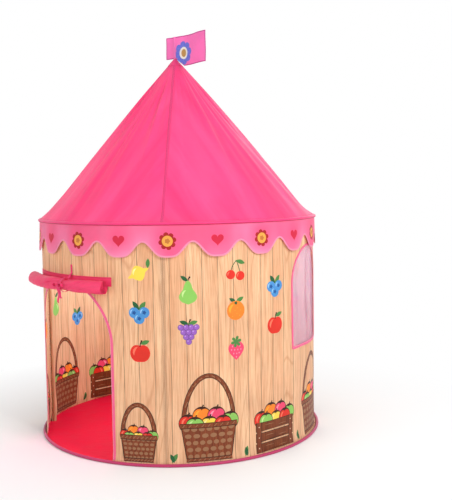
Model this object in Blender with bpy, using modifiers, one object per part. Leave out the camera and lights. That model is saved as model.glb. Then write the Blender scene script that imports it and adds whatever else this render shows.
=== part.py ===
"""A child's round play tent: a printed cloth drum with an arched door and two net windows, a pointed roof
on four jointed poles, two steel hoops in cloth bindings, a scalloped valance and a flag. Metres, +Z up; the
origin is the middle of the floor, and the door faces -Y."""

import math

import bmesh
import bpy
import numpy as np
from mathutils import Matrix, Vector

# Driving sizes of the whole tent
FLOOR_DIAMETER = 1.05
EAVES_HEIGHT = 0.79
ROOF_RISE = 0.562
ROUND_SIDES = 48

# Cloth and clearances
GAP = 0.0003
SEAT_GAP = 0.0005
CLOTH = 0.0012
CUT_OVERRUN = 0.03
MERGE = 0.00001

# Steel hoops and the cloth bindings round them
HOOP_WIRE_RADIUS = 0.0025
BINDING_RADIUS = 0.0055
BINDING_MOUTH_DEG = 50
BINDING_SPANS = 4
HOOP_SIDES = 6

# Drum of the tent
WALL_INSET = 0.006
FOOT_FLARE = 0.03
FLOOR_THICKNESS = 0.001
SEAM_ANGLES = {"front_right": 45, "back_right": 135, "back_left": 225, "front_left": 315}

# Door and its binding
DOOR_HALF_WIDTH = 0.208
DOOR_DROP = 0.190
TAPE_WIDTH = 0.010
TAPE_THICKNESS = 0.001
TAPE_SPARE_SHARE = 0.1
ARCH_STEPS = 12

# Net windows
WINDOW_HALF_WIDTH = 0.127
WINDOW_HEIGHT = 0.342
WINDOW_DROP = 0.101
WINDOW_SEAM_SPACE = 0.045
NET_MARGIN = 0.008
NET_THICKNESS = 0.0008
NET_STRAND = 0.0035
NET_CORNER_SHARE = 0.25
NET_COLUMNS = 5
NET_ROWS = 7

# Door flap, rolled up above the door, and the ribbon that ties it
FLAP_OVERLAP = 0.0107
FLAP_SEAM_RISE = 0.017
FLAP_THICKNESS = 0.001
ROLL_RADIUS = 0.0265
ROLL_TOP_DROP = 0.004
ROLL_SPANS = 16
ROLL_SIDES = 14
ROLL_STEP_SHARE = 0.1
ROLL_WAIST_SHARE = 0.2
ROLL_WAIST_LENGTH = 0.035
TIE_ANGLE = 6
TIE_WIDTH = 0.012
TIE_THICKNESS = 0.001
TIE_CLEARANCE = 0.0011
TIE_TAB = 0.034
TIE_LOOP_TURNS = (118, -200)
TIE_LOOP_SPANS = 14
TIE_TAIL_LENGTHS = (0.060, 0.045)
TAIL_SHARES = (0.0, 0.4, 0.75, 1.0)
TAIL_LEAN_SHARE = 0.12
TAIL_SPREAD = 9
KNOT_RADIUS = 0.008

# Poles: two tubes up the wall and two bowed rods up the roof at each seam
POLE_RADIUS = 0.0045
FERRULE_WALL = 0.0014
POLE_SIDES = 10
FERRULE_LENGTH = 0.06
ROD_BOW = 0.010
ROD_SPANS = 4
ROD_JOINT_SHARE = 0.5
ELBOW_DROP = 0.026
ELBOW_BEND = 0.012
ELBOW_SPANS = 4
POLE_SEAT = 0.022
POLE_END_GAP = 0.001
SEAM_TAPE_WIDTH = 0.024
SEAM_TAPE_THICKNESS = 0.001
SLEEVE_SINK_SHARE = 0.8
SLEEVE_TOP_GAP = 0.012

# Hub at the peak, with the mast and the flag
HUB_REACH = 0.016
HUB_RADIUS = 0.0125
HUB_DEPTH = 0.026
HUB_SIDES = 16
SOCKET_LENGTH = 0.036
MAST_RADIUS = 0.004
MAST_SIDES = 12
MAST_SEAT = 0.014
MAST_HEADROOM = 0.004
FLAG_HEIGHT = 0.111
FLAG_CLEARANCE = 0.015
FLAG_FLY = 0.183
FLAG_TAIL = 0.042
FLAG_CLOTH = 0.0012
FLAG_WAVE = 0.008
FLAG_NOTCH = 0.045
FLAG_COLUMNS = 8

# Roof cloth
ROOF_CLEARANCE = 0.0012
FLARE_HEIGHT = 0.055
FLARE_POWER = 2.2
GORE_SAG = 0.008
GORE_GAP = 0.0009
GORE_COLUMNS = 12
ROOF_ROW_SHARES = (0.0, 0.012, 0.04, 0.09, 0.2, 0.36, 0.55, 0.76, 1.0)
PEAK_HOLE = 0.0085
CAP_RADIUS = 0.028
CAP_SIDES = 24
SLOPE_SHARE = 0.002
PAST_HUB_SHARE = 0.06
ROOF_LINE_POINTS = 120

# Scalloped valance under the eaves
LOBES = 20
LOBE_TIP_DROP = 0.107
LOBE_NOTCH_DROP = 0.059
LOBE_COLUMNS = 10
LOBE_START = 47
LOBE_ROUNDING = 1.9
VALANCE_ROWS = 1
VALANCE_FLARE = 0.003
VALANCE_WAVE = 0.0015

# Sizes that follow from the ones above
FERRULE_RADIUS = POLE_RADIUS + GAP + FERRULE_WALL
HEM_RING = FLOOR_DIAMETER / 2 - BINDING_RADIUS
WALL_RADIUS = HEM_RING - BINDING_RADIUS - WALL_INSET
WALL_INSIDE = WALL_RADIUS - CLOTH
WALL_FOOT = FLOOR_THICKNESS + GAP
TAPE_FOOT = 2 * BINDING_RADIUS + GAP
EAVES_RING = WALL_RADIUS + SEAT_GAP + BINDING_RADIUS * math.cos(math.radians(BINDING_MOUTH_DEG / 2))
SEAM_TAPE_RADIUS = WALL_INSIDE - GAP
POLE_RING = SEAM_TAPE_RADIUS - SEAM_TAPE_THICKNESS - GAP - FERRULE_RADIUS
CLOTH_SLEEVE_RADIUS = FERRULE_RADIUS + GAP + SEAM_TAPE_THICKNESS * SLEEVE_SINK_SHARE
ELBOW_HEIGHT = EAVES_HEIGHT - ELBOW_DROP
ELBOW_ARM = ELBOW_BEND + POLE_SEAT
HUB_HEIGHT = EAVES_HEIGHT + ROOF_RISE
DOOR_HEIGHT = EAVES_HEIGHT - DOOR_DROP
WINDOW_TOP = EAVES_HEIGHT - WINDOW_DROP
WINDOW_SILL = WINDOW_TOP - WINDOW_HEIGHT
WINDOW_FROM_SEAM = math.degrees(math.asin(WINDOW_HALF_WIDTH / WALL_RADIUS) + WINDOW_SEAM_SPACE / WALL_RADIUS)
WINDOW_ANGLES = {
    "right": SEAM_ANGLES["back_right"] - WINDOW_FROM_SEAM,
    "left": SEAM_ANGLES["back_left"] + WINDOW_FROM_SEAM,
}
TAPE_RADIUS = WALL_RADIUS + GAP + TAPE_THICKNESS
FLAP_RADIUS = TAPE_RADIUS + GAP + FLAP_THICKNESS
FLAP_HALF_ANGLE = math.degrees(math.asin((DOOR_HALF_WIDTH + FLAP_OVERLAP) / WALL_RADIUS))
FLAP_SEAM_HEIGHT = DOOR_HEIGHT + FLAP_SEAM_RISE
ROLL_RING = FLAP_RADIUS + 2 * GAP + ROLL_RADIUS
ROLL_HEIGHT = FLAP_SEAM_HEIGHT - ROLL_TOP_DROP - ROLL_RADIUS
CLOTH_LIFT = FERRULE_RADIUS + ROOF_CLEARANCE + CLOTH
CAP_INSIDE = CLOTH_LIFT + GAP
CAP_OUTSIDE = CAP_INSIDE + CLOTH

COLOURS = {
    "roof_pink": ((0.86, 0.10, 0.30), 0.55, 0.0),
    "trim_pink": ((0.80, 0.06, 0.22), 0.5, 0.0),
    "floor_red": ((0.72, 0.02, 0.08), 0.6, 0.0),
    "printed_cloth": ((0.80, 0.55, 0.34), 0.65, 0.0),
    "valance_pink": ((0.90, 0.18, 0.42), 0.6, 0.0),
    "net_pink": ((0.85, 0.62, 0.72), 0.7, 0.0),
    "flag_violet": ((0.80, 0.22, 0.55), 0.55, 0.0),
    "pole_white": ((0.82, 0.82, 0.80), 0.35, 0.0),
    "joint_black": ((0.03, 0.03, 0.03), 0.4, 0.0),
    "hoop_steel": ((0.55, 0.56, 0.58), 0.3, 1.0),
}


def clear_scene():
    for old in list(bpy.data.objects):
        bpy.data.objects.remove(old)


def new_collection(name):
    collection = bpy.data.collections.new(name)
    bpy.context.scene.collection.children.link(collection)
    return collection


def material(name):
    colour, roughness, metallic = COLOURS[name]
    made = bpy.data.materials.get(name)
    if made is None:
        made = bpy.data.materials.new(name)
        made.use_nodes = True
        shader = made.node_tree.nodes["Principled BSDF"]
        shader.inputs["Base Color"].default_value = (*colour, 1)
        shader.inputs["Roughness"].default_value = roughness
        shader.inputs["Metallic"].default_value = metallic
        made.diffuse_color = (*colour, 1)
    return made


def place(name, data, colour):
    """A named object of the tent, with its material."""
    made = bpy.data.objects.new(name, data)
    TENT.objects.link(made)
    data.materials.append(material(colour))
    return made


def adopt(made, name, colour):
    """Gives a new primitive its name, its place among the tent's parts and its material."""
    made.name = made.data.name = name
    for collection in list(made.users_collection):
        collection.objects.unlink(made)
    TENT.objects.link(made)
    made.data.materials.append(material(colour))
    return made


def guide(made):
    """Turns an object into a cutter: the build and a render leave it out."""
    for collection in list(made.users_collection):
        collection.objects.unlink(made)
    CUTTERS.objects.link(made)
    made.hide_render = True
    made.display_type = "WIRE"
    return made


def mesh_of(name, work):
    mesh = bpy.data.meshes.new(name)
    work.to_mesh(mesh)
    work.free()
    return mesh


def smooth(made, angle=40):
    made.data.shade_smooth()
    made.data.set_sharp_from_angle(angle=math.radians(angle))


def around(radius, angle, height):
    """The point at this radius and height, at an angle in degrees from the door towards +X."""
    turn = math.radians(angle)
    return Vector((radius * math.sin(turn), -radius * math.cos(turn), height))


def on_drum(radius, angle, height):
    """The point at an angle on the flat-sided drum whose corners have this radius."""
    half = 180 / ROUND_SIDES
    flat = math.cos(math.radians(half)) / math.cos(math.radians(angle % (2 * half) - half))
    return around(radius * flat, angle, height)


def solidify(made, thickness):
    """Thickens an open surface behind its normals."""
    modifier = made.modifiers.new("cloth", "SOLIDIFY")
    modifier.thickness = thickness
    modifier.offset = -1
    modifier.use_even_offset = True


def boolean(made, cutter, operation="DIFFERENCE"):
    modifier = made.modifiers.new(operation.lower(), "BOOLEAN")
    modifier.operation = operation
    modifier.object = cutter


def applied(made):
    """Replaces an object's modifiers by the mesh that they make."""
    graph = bpy.context.evaluated_depsgraph_get()
    mesh = bpy.data.meshes.new_from_object(made.evaluated_get(graph))
    made.modifiers.clear()
    made.data = mesh
    return made


def surface(name, columns, rows, point, colour):
    """An open sheet: point(column, row) gives each corner of a grid whose normals face outwards."""
    work = bmesh.new()
    grid = [[work.verts.new(point(i, j)) for j in range(rows + 1)] for i in range(columns + 1)]
    for i in range(columns):
        for j in range(rows):
            work.faces.new((grid[i][j], grid[i + 1][j], grid[i + 1][j + 1], grid[i][j + 1]))
    return place(name, mesh_of(name, work), colour)


def flared(radius, height):
    """The drum's radius near the floor, where its foot spreads out to meet the hem."""
    return radius + WALL_INSET * max(0, 1 - height / FOOT_FLARE)


def curved_panel(name, radius, first, last, low, high, thickness, colour, flare=False):
    """A piece of the drum between two angles and two heights; radius is its outer face's."""
    step = 360 / ROUND_SIDES
    inner = [k * step for k in range(math.ceil(first / step), math.floor(last / step) + 1)]
    margin = step / ROUND_SIDES
    angles = sorted({first, last, *[a for a in inner if first + margin < a < last - margin]})
    heights = [low, FOOT_FLARE, high] if flare and low < FOOT_FLARE < high else [low, high]

    def point(i, j):
        spread = flared(radius, heights[j]) if flare else radius
        return on_drum(spread, angles[i], heights[j])

    made = surface(name, len(angles) - 1, len(heights) - 1, point, colour)
    solidify(made, thickness)
    return made


def turned(name, profile, colour, sides=ROUND_SIDES):
    """A closed profile of (radius, height) points turned about the tent's axis."""
    work = bmesh.new()
    points = [work.verts.new((radius, 0, height)) for radius, height in profile]
    for start, end in zip(points, points[1:] + points[:1]):
        work.edges.new((start, end))
    made = place(name, mesh_of(name, work), colour)
    screw = made.modifiers.new("turn", "SCREW")
    screw.angle = 2 * math.pi
    screw.steps = sides
    screw.render_steps = sides
    screw.use_merge_vertices = True
    screw.merge_threshold = MERGE
    screw.use_normal_calculate = True
    return made


def arc_points(centre, radius, first, last, steps):
    """Points on an arc in a flat plane, from one angle in degrees to another."""
    turns = [math.radians(first + (last - first) * k / steps) for k in range(steps + 1)]
    return [(centre[0] + radius * math.cos(t), centre[1] + radius * math.sin(t)) for t in turns]


def rod(name, start, end, radius, colour, sides=POLE_SIDES):
    """A straight round bar between two points."""
    start, end = Vector(start), Vector(end)
    bpy.ops.mesh.primitive_cylinder_add(vertices=sides, radius=radius, depth=(end - start).length)
    made = adopt(bpy.context.object, name, colour)
    made.rotation_mode = "QUATERNION"
    made.rotation_quaternion = (end - start).to_track_quat("Z", "Y")
    made.location = (start + end) / 2
    smooth(made)
    return made


def bent_rod(name, points, radius, colour, resolution=2):
    """A round bar along a row of points."""
    curve = bpy.data.curves.new(name, "CURVE")
    curve.dimensions = "3D"
    curve.bevel_depth = radius
    curve.bevel_resolution = resolution
    curve.use_fill_caps = True
    spline = curve.splines.new("POLY")
    spline.points.add(len(points) - 1)
    for vertex, point in zip(spline.points, points):
        vertex.co = (*point, 1)
    return place(name, curve, colour)


def as_mesh(made):
    """A curve object made into a closed mesh object of the same name."""
    name, matrix = made.name, made.matrix_world.copy()
    graph = bpy.context.evaluated_depsgraph_get()
    mesh = bpy.data.meshes.new_from_object(made.evaluated_get(graph))
    collection = made.users_collection[0]
    bpy.data.objects.remove(made)
    work = bmesh.new()
    work.from_mesh(mesh)
    bmesh.ops.remove_doubles(work, verts=work.verts, dist=MERGE)
    bmesh.ops.recalc_face_normals(work, faces=work.faces)
    work.to_mesh(mesh)
    work.free()
    new = bpy.data.objects.new(name, mesh)
    new.matrix_world = matrix
    collection.objects.link(new)
    return new


def united(made, pieces):
    """Joins other solids to one object: each overlaps it, or one before it."""
    bpy.context.view_layer.update()
    for piece in pieces:
        boolean(made, guide(piece), "UNION")
    applied(made)
    smooth(made)
    return made


# Hoops and bindings
def bindings_and_hoops():
    for name, ring, height in (
        ("floor", HEM_RING, BINDING_RADIUS),
        ("eaves", EAVES_RING, EAVES_HEIGHT),
    ):
        mouth = BINDING_MOUTH_DEG / 2
        outer = arc_points((ring, height), BINDING_RADIUS, 180 - mouth, mouth - 180, BINDING_SPANS)
        inner = arc_points((ring, height), BINDING_RADIUS - CLOTH, mouth - 180, 180 - mouth, BINDING_SPANS)
        turned(name + "_binding", outer + inner, "trim_pink")
        wire = arc_points((ring, height), HOOP_WIRE_RADIUS, 180, -180, HOOP_SIDES)[:-1]
        turned(name + "_hoop", wire, "hoop_steel")


def floor_sheet():
    """The round floor, whose edge reaches under the hem's binding as far as its lowest flat side lets it."""
    mouth = BINDING_MOUTH_DEG / 2
    profile = arc_points((HEM_RING, BINDING_RADIUS), BINDING_RADIUS, 180 - mouth, mouth - 180, BINDING_SPANS)
    near, far = profile[-1], profile[-2]
    share = (FLOOR_THICKNESS - far[1]) / (near[1] - far[1])
    radius = far[0] + (near[0] - far[0]) * share - SEAT_GAP
    bpy.ops.mesh.primitive_cylinder_add(vertices=ROUND_SIDES, radius=radius, depth=FLOOR_THICKNESS)
    adopt(bpy.context.object, "floor_sheet", "floor_red").location.z = FLOOR_THICKNESS / 2


# Drum of the tent with its door and windows
def opening_cutter(name, angle, half_width, sill, top, grow=0.0):
    """A round-topped block, grown all round by a margin, that runs outwards through the wall at an angle."""
    half, low, spring = half_width + grow, sill - grow, top - half_width
    near = math.sqrt(WALL_RADIUS**2 - half**2) - CUT_OVERRUN
    outline = [(-half, low), (half, low), *arc_points((0, spring), half, 0, 180, ARCH_STEPS)]
    work = bmesh.new()
    face = work.faces.new([work.verts.new((x, -near, z)) for x, z in outline])
    pushed = bmesh.ops.extrude_face_region(work, geom=[face])["geom"]
    bmesh.ops.translate(
        work,
        vec=(0, near - WALL_RADIUS - CUT_OVERRUN, 0),
        verts=[v for v in pushed if isinstance(v, bmesh.types.BMVert)],
    )
    bmesh.ops.recalc_face_normals(work, faces=work.faces)
    made = place(name, mesh_of(name, work), "joint_black")
    made.rotation_euler.z = math.radians(angle)
    return guide(made)


def tape(name, angle, half_width, sill, top):
    """Flat binding round an opening, on the wall's outer face."""
    reach = math.degrees(math.asin((half_width + TAPE_WIDTH) / WALL_RADIUS)) * (1 + TAPE_SPARE_SHARE)
    made = curved_panel(
        name,
        TAPE_RADIUS,
        angle - reach,
        angle + reach,
        max(TAPE_FOOT, sill - CUT_OVERRUN),
        top + CUT_OVERRUN,
        TAPE_THICKNESS,
        "trim_pink",
        flare=True,
    )
    boolean(made, opening_cutter(name + "_outside", angle, half_width, sill, top, TAPE_WIDTH), "INTERSECT")
    boolean(made, opening_cutter(name + "_inside", angle, half_width, sill, top))


def walls():
    slit = math.degrees(GAP / 2 / WALL_INSIDE)
    door = ("door", 0, DOOR_HALF_WIDTH, -CUT_OVERRUN, DOOR_HEIGHT)
    openings = {"front": door}
    for side, angle in WINDOW_ANGLES.items():
        openings[side] = ("window_" + side, angle, WINDOW_HALF_WIDTH, WINDOW_SILL, WINDOW_TOP)
        window_net("window_net_" + side, angle)
    for side, middle in {"front": 0, "right": 90, "back": 180, "left": 270}.items():
        made = curved_panel(
            "wall_" + side,
            WALL_RADIUS,
            middle - 45 + slit,
            middle + 45 - slit,
            WALL_FOOT,
            EAVES_HEIGHT,
            CLOTH,
            "printed_cloth",
            flare=True,
        )
        if side in openings:
            name, *shape = openings[side]
            boolean(made, opening_cutter(name + "_cut", *shape))
            tape(name + "_binding", *shape)


def window_net(name, angle):
    """A net behind the wall's cloth, sewn on round the window."""
    half = WINDOW_HALF_WIDTH + NET_MARGIN
    low = WINDOW_SILL - NET_MARGIN
    spring = WINDOW_TOP - WINDOW_HALF_WIDTH
    radius = WALL_INSIDE - GAP

    def knot(i, j):
        across = half * math.sin(math.pi / 2 * (2 * i / NET_COLUMNS - 1))
        top = spring + math.sqrt(max(half**2 - across**2, (NET_CORNER_SHARE * half) ** 2))
        turn = angle + math.degrees(math.asin(across / radius))
        return on_drum(radius, turn, low + (top - low) * j / NET_ROWS)

    made = surface(name, NET_COLUMNS, NET_ROWS, knot, "net_pink")
    work = bmesh.new()
    work.from_mesh(made.data)
    cells = list(work.faces)
    bmesh.ops.inset_individual(work, faces=cells, thickness=NET_STRAND)
    bmesh.ops.delete(work, geom=cells, context="FACES")
    work.to_mesh(made.data)
    work.free()
    solidify(made, NET_THICKNESS)


# Door flap
def door_flap():
    """The flap's top, which hangs from its seam, and the rest of it rolled up in front."""
    curved_panel(
        "door_flap_sheet",
        FLAP_RADIUS,
        -FLAP_HALF_ANGLE,
        FLAP_HALF_ANGLE,
        ROLL_HEIGHT,
        FLAP_SEAM_HEIGHT,
        FLAP_THICKNESS,
        "trim_pink",
    )
    work = bmesh.new()
    rings = []
    for k in range(ROLL_SPANS + 1):
        angle = FLAP_HALF_ANGLE * (2 * k / ROLL_SPANS - 1)
        away = math.radians(angle - TIE_ANGLE) * ROLL_RING / ROLL_WAIST_LENGTH
        girth = ROLL_RADIUS * (1 - ROLL_WAIST_SHARE * math.exp(-(away**2)))
        ring = []
        for n in range(ROLL_SIDES):
            turn = 2 * math.pi * n / (ROLL_SIDES - 1)
            reach = girth * (1 - ROLL_STEP_SHARE * (1 - n / (ROLL_SIDES - 1)))
            point = around(ROLL_RING - reach * math.cos(turn), angle, reach * math.sin(turn))
            ring.append(work.verts.new(point))
        rings.append(ring)
    for here, there in zip(rings, rings[1:]):
        for n in range(ROLL_SIDES):
            following = (n + 1) % ROLL_SIDES
            work.faces.new((here[n], there[n], there[following], here[following]))
    work.faces.new(rings[0])
    work.faces.new(rings[-1][::-1])
    bmesh.ops.recalc_face_normals(work, faces=work.faces)
    roll = place("door_roll", mesh_of("door_roll", work), "trim_pink")
    roll.location.z = ROLL_HEIGHT
    smooth(roll)


def ribbon(name, path):
    """A ribbon along (radius, height) points before the door; it thickens on the right of its path."""

    def point(i, j):
        return (TIE_WIDTH * (i - 1 / 2), -path[j][0], path[j][1])

    made = surface(name, 1, len(path) - 1, point, "valance_pink")
    made.rotation_euler.z = math.radians(TIE_ANGLE)
    solidify(made, TIE_THICKNESS)
    return made


def door_tie():
    """A ribbon from the wall above the door round the roll's waist, with its knot and two tails."""
    loop = ROLL_RADIUS * (1 - ROLL_WAIST_SHARE) + TIE_CLEARANCE + TIE_THICKNESS
    wall_face = WALL_RADIUS + GAP + TIE_THICKNESS
    tab_foot = FLAP_SEAM_HEIGHT + 2 * TIE_THICKNESS
    turn = arc_points((ROLL_RING, ROLL_HEIGHT), loop, *TIE_LOOP_TURNS, TIE_LOOP_SPANS)
    made = ribbon("door_tie", [(wall_face, tab_foot + TIE_TAB), (wall_face, tab_foot), *turn][::-1])
    bpy.ops.mesh.primitive_uv_sphere_add(segments=8, ring_count=6, radius=KNOT_RADIUS)
    knot = adopt(bpy.context.object, "tie_knot", "valance_pink")
    knot_ring = ROLL_RING + loop + KNOT_RADIUS - TIE_THICKNESS
    knot.location = around(knot_ring, TIE_ANGLE, ROLL_HEIGHT)
    pieces = [knot]
    for side, length in zip((-1, 1), TIE_TAIL_LENGTHS):
        lean = length * TAIL_LEAN_SHARE
        bend = [(knot_ring - lean * share, ROLL_HEIGHT - length * share) for share in TAIL_SHARES]
        tail = ribbon("tie_tail", bend[::-1])
        turn = Matrix.Translation(knot.location) @ Matrix.Rotation(side * math.radians(TAIL_SPREAD), 4, "Y")
        tail.data.transform(turn @ Matrix.Translation(-Vector(around(knot_ring, 0, ROLL_HEIGHT))))
        tail.rotation_euler.z = 0
        pieces.append(tail)
    united(made, pieces)


# Poles
def rod_point(share):
    """Where the roof rods run, as (radius, height) at a share of the way from the elbow to the hub."""
    foot, top = Vector((POLE_RING, ELBOW_HEIGHT)), Vector((HUB_REACH, HUB_HEIGHT))
    chord = top - foot
    out = Vector((chord.y, -chord.x)).normalized()
    return foot + chord * share + out * ROD_BOW * 4 * share * (1 - share)


def rod_slope(share):
    """Unit vector up along the rods at a share of their way."""
    return (rod_point(share + SLOPE_SHARE) - rod_point(share - SLOPE_SHARE)).normalized()


def roof_line(lift):
    """Points of a line that runs this far outside the rods, continued past the hub."""
    points = []
    for share in np.linspace(-SLOPE_SHARE, 1 + PAST_HUB_SHARE, ROOF_LINE_POINTS):
        slope = rod_slope(share)
        points.append(rod_point(share) + Vector((slope.y, -slope.x)) * lift)
    return np.array(points)


def height_at(radius, lift):
    radii, heights = roof_line(lift).T
    return float(np.interp(-radius, -radii, heights))


def radius_at(height, lift):
    radii, heights = roof_line(lift).T
    return float(np.interp(height, heights, radii))


def poles():
    """Two tubes up the wall, an elbow and two rods up the roof at each seam; an upper one has a ferrule."""
    length = (Vector((HUB_REACH, HUB_HEIGHT)) - Vector((POLE_RING, ELBOW_HEIGHT))).length
    foot = WALL_FOOT + CLOTH + GAP
    top = ELBOW_HEIGHT - ELBOW_BEND
    middle = (foot + top) / 2
    start, end_gap, reach = ELBOW_BEND / length, POLE_END_GAP / length, FERRULE_LENGTH / 2 / length
    for corner, angle in SEAM_ANGLES.items():

        def upright(height, turn=angle):
            return around(POLE_RING, turn, height)

        def slanted(share, turn=angle):
            radius, height = rod_point(share)
            return around(radius, turn, height)

        lower, upper = f"wall_pole_lower_{corner}", f"wall_pole_upper_{corner}"
        rod(lower, upright(foot), upright(middle), POLE_RADIUS, "pole_white")
        pole = rod(upper, upright(middle + POLE_END_GAP), upright(top), POLE_RADIUS, "pole_white")
        ends = [upright(middle + side * FERRULE_LENGTH / 2) for side in (-1, 1)]
        ferrule(pole, *ends, upright(middle + POLE_END_GAP / 2))

        joint = ROD_JOINT_SHARE
        for half, first, last in (("lower", start, joint), ("upper", joint + end_gap, 1.0)):
            points = [slanted(first + (last - first) * k / ROD_SPANS) for k in range(ROD_SPANS + 1)]
            pole = as_mesh(bent_rod(f"roof_rod_{half}_{corner}", points, POLE_RADIUS, "pole_white"))
        ferrule(pole, slanted(joint - reach), slanted(joint + reach), slanted(joint + end_gap / 2))
        eaves_elbow(corner, angle)
        seam_tape(corner, angle, foot)


def ferrule(pole, start, end, stop):
    """A sleeve fixed on a pole's end, which takes the end of the next pole as far as the stop."""
    outside = rod(pole.name + "_ferrule", start, end, FERRULE_RADIUS, "joint_black")
    past = start + (start - stop).normalized() * CUT_OVERRUN
    bore = guide(rod(pole.name + "_socket", past, stop, POLE_RADIUS + GAP, "joint_black"))
    bpy.context.view_layer.update()
    boolean(pole, guide(outside), "UNION")
    boolean(pole, bore)
    applied(pole)
    smooth(pole)


def seam_tape(corner, angle, foot):
    """A tape sewn down a wall seam, with the long cloth sleeve that the wall's pole stands in."""
    half = math.degrees(SEAM_TAPE_WIDTH / 2 / SEAM_TAPE_RADIUS)
    made = curved_panel(
        "seam_tape_" + corner,
        SEAM_TAPE_RADIUS,
        angle - half,
        angle + half,
        WALL_FOOT,
        EAVES_HEIGHT,
        SEAM_TAPE_THICKNESS,
        "printed_cloth",
    )
    sleeve_top = ELBOW_HEIGHT - ELBOW_ARM - SLEEVE_TOP_GAP
    ends = around(POLE_RING, angle, WALL_FOOT), around(POLE_RING, angle, sleeve_top)
    sleeve = rod(f"{made.name}_sleeve", *ends, CLOTH_SLEEVE_RADIUS, "printed_cloth")
    ends = around(POLE_RING, angle, foot - GAP), around(POLE_RING, angle, EAVES_HEIGHT + CUT_OVERRUN)
    bore = guide(rod(f"{made.name}_bore", *ends, FERRULE_RADIUS + GAP, "printed_cloth"))
    united(made, [sleeve])
    boolean(made, bore)


def eaves_elbow(corner, angle):
    """A bent tube that joins a wall pole to its roof rod."""
    turn_point, down, up = Vector((POLE_RING, ELBOW_HEIGHT)), Vector((0, -1)), rod_slope(0)

    def path(reach):
        bend = []
        for k in range(ELBOW_SPANS + 1):
            share = k / ELBOW_SPANS
            bend.append(turn_point + (down * (1 - share) ** 2 + up * share**2) * ELBOW_BEND)
        first, last = [turn_point + side * (ELBOW_ARM + reach) for side in (down, up)]
        return [around(point.x, angle, point.y) for point in (first, *bend, last)]

    name = "eaves_elbow_" + corner
    made = as_mesh(bent_rod(name, path(0), FERRULE_RADIUS, "joint_black", 4))
    bore = as_mesh(bent_rod(name + "_bore", path(CUT_OVERRUN), POLE_RADIUS + 2 * GAP, "joint_black", 4))
    boolean(made, guide(bore))
    smooth(made)


# Hub, mast and flag
def hub():
    """A round block under the peak with four sockets for the roof rods and one for the mast."""
    slope, tip = rod_slope(1), rod_point(1)
    inner, outer, seat = tip + slope * HUB_REACH / 2, tip - slope * SOCKET_LENGTH, tip + slope * GAP
    past = outer - slope * CUT_OVERRUN
    top = height_at(HUB_RADIUS, CLOTH_LIFT - CLOTH) - SEAT_GAP
    foot = top - MAST_SEAT
    body = rod("peak_hub", (0, 0, top - HUB_DEPTH), (0, 0, top), HUB_RADIUS, "joint_black", HUB_SIDES)
    bore = POLE_RADIUS + GAP
    sockets, bores = [], []
    for corner, angle in SEAM_ANGLES.items():
        ends = [around(point.x, angle, point.y) for point in (inner, outer, seat, past)]
        sockets.append(rod("socket_" + corner, ends[0], ends[1], FERRULE_RADIUS, "joint_black"))
        bores.append(guide(rod("socket_bore_" + corner, ends[2], ends[3], bore, "joint_black")))
    ends = (0, 0, foot), (0, 0, top + CUT_OVERRUN)
    bores.append(guide(rod("mast_bore", *ends, MAST_RADIUS + GAP, "joint_black", MAST_SIDES)))
    united(body, sockets)
    for cutter in bores:
        boolean(body, cutter)
    ends = (0, 0, foot + GAP), (0, 0, flag_bottom() + FLAG_HEIGHT - MAST_HEADROOM)
    rod("flag_mast", *ends, MAST_RADIUS, "pole_white", MAST_SIDES)


def peak_cap():
    """A small cloth cone that covers the tops of the roof's seams round the mast."""
    hole = MAST_RADIUS + GAP
    corners = ((hole, CAP_OUTSIDE), (CAP_RADIUS, CAP_OUTSIDE), (CAP_RADIUS, CAP_INSIDE), (hole, CAP_INSIDE))
    profile = [(radius, height_at(radius, lift)) for radius, lift in corners]
    turned("peak_cap", profile, "trim_pink", CAP_SIDES)


def flag_bottom():
    """The height of the flag's lower edge, which clears the peak where its notch ends."""
    return height_at(FLAG_NOTCH, CAP_OUTSIDE) + FLAG_CLEARANCE


def flag():
    """The flag's cloth, with a channel that turns on the mast and a lower edge notched at the peak."""
    channel = MAST_RADIUS + GAP + FLAG_CLOTH
    low, foot = flag_bottom(), height_at(MAST_RADIUS + GAP, CAP_OUTSIDE) + GAP
    top = low + FLAG_HEIGHT
    places = [-FLAG_TAIL, -channel * 2, 0, channel]
    places += [FLAG_NOTCH + (FLAG_FLY - FLAG_NOTCH) * k / FLAG_COLUMNS for k in range(FLAG_COLUMNS + 1)]

    def wave(x):
        return FLAG_WAVE * math.sin(2 * math.pi * x / (FLAG_FLY + FLAG_TAIL)) * min(abs(x) / FLAG_NOTCH, 1)

    def point(i, j):
        x = places[i]
        drop = (foot - low) * min(1, max(0, (x - channel) / (FLAG_NOTCH - channel)))
        return (x, wave(x) - FLAG_CLOTH / 2, (foot - drop, top)[j])

    cloth = surface("flag", len(places) - 1, 1, point, "flag_violet")
    solidify(cloth, FLAG_CLOTH)
    tube = rod("flag_channel", (0, 0, foot), (0, 0, top), channel, "flag_violet", MAST_SIDES)
    ends = (0, 0, foot - CUT_OVERRUN), (0, 0, top + CUT_OVERRUN)
    bore = guide(rod("flag_bore", *ends, MAST_RADIUS + GAP, "flag_violet", MAST_SIDES))
    united(cloth, [tube])
    boolean(cloth, bore)


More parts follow.
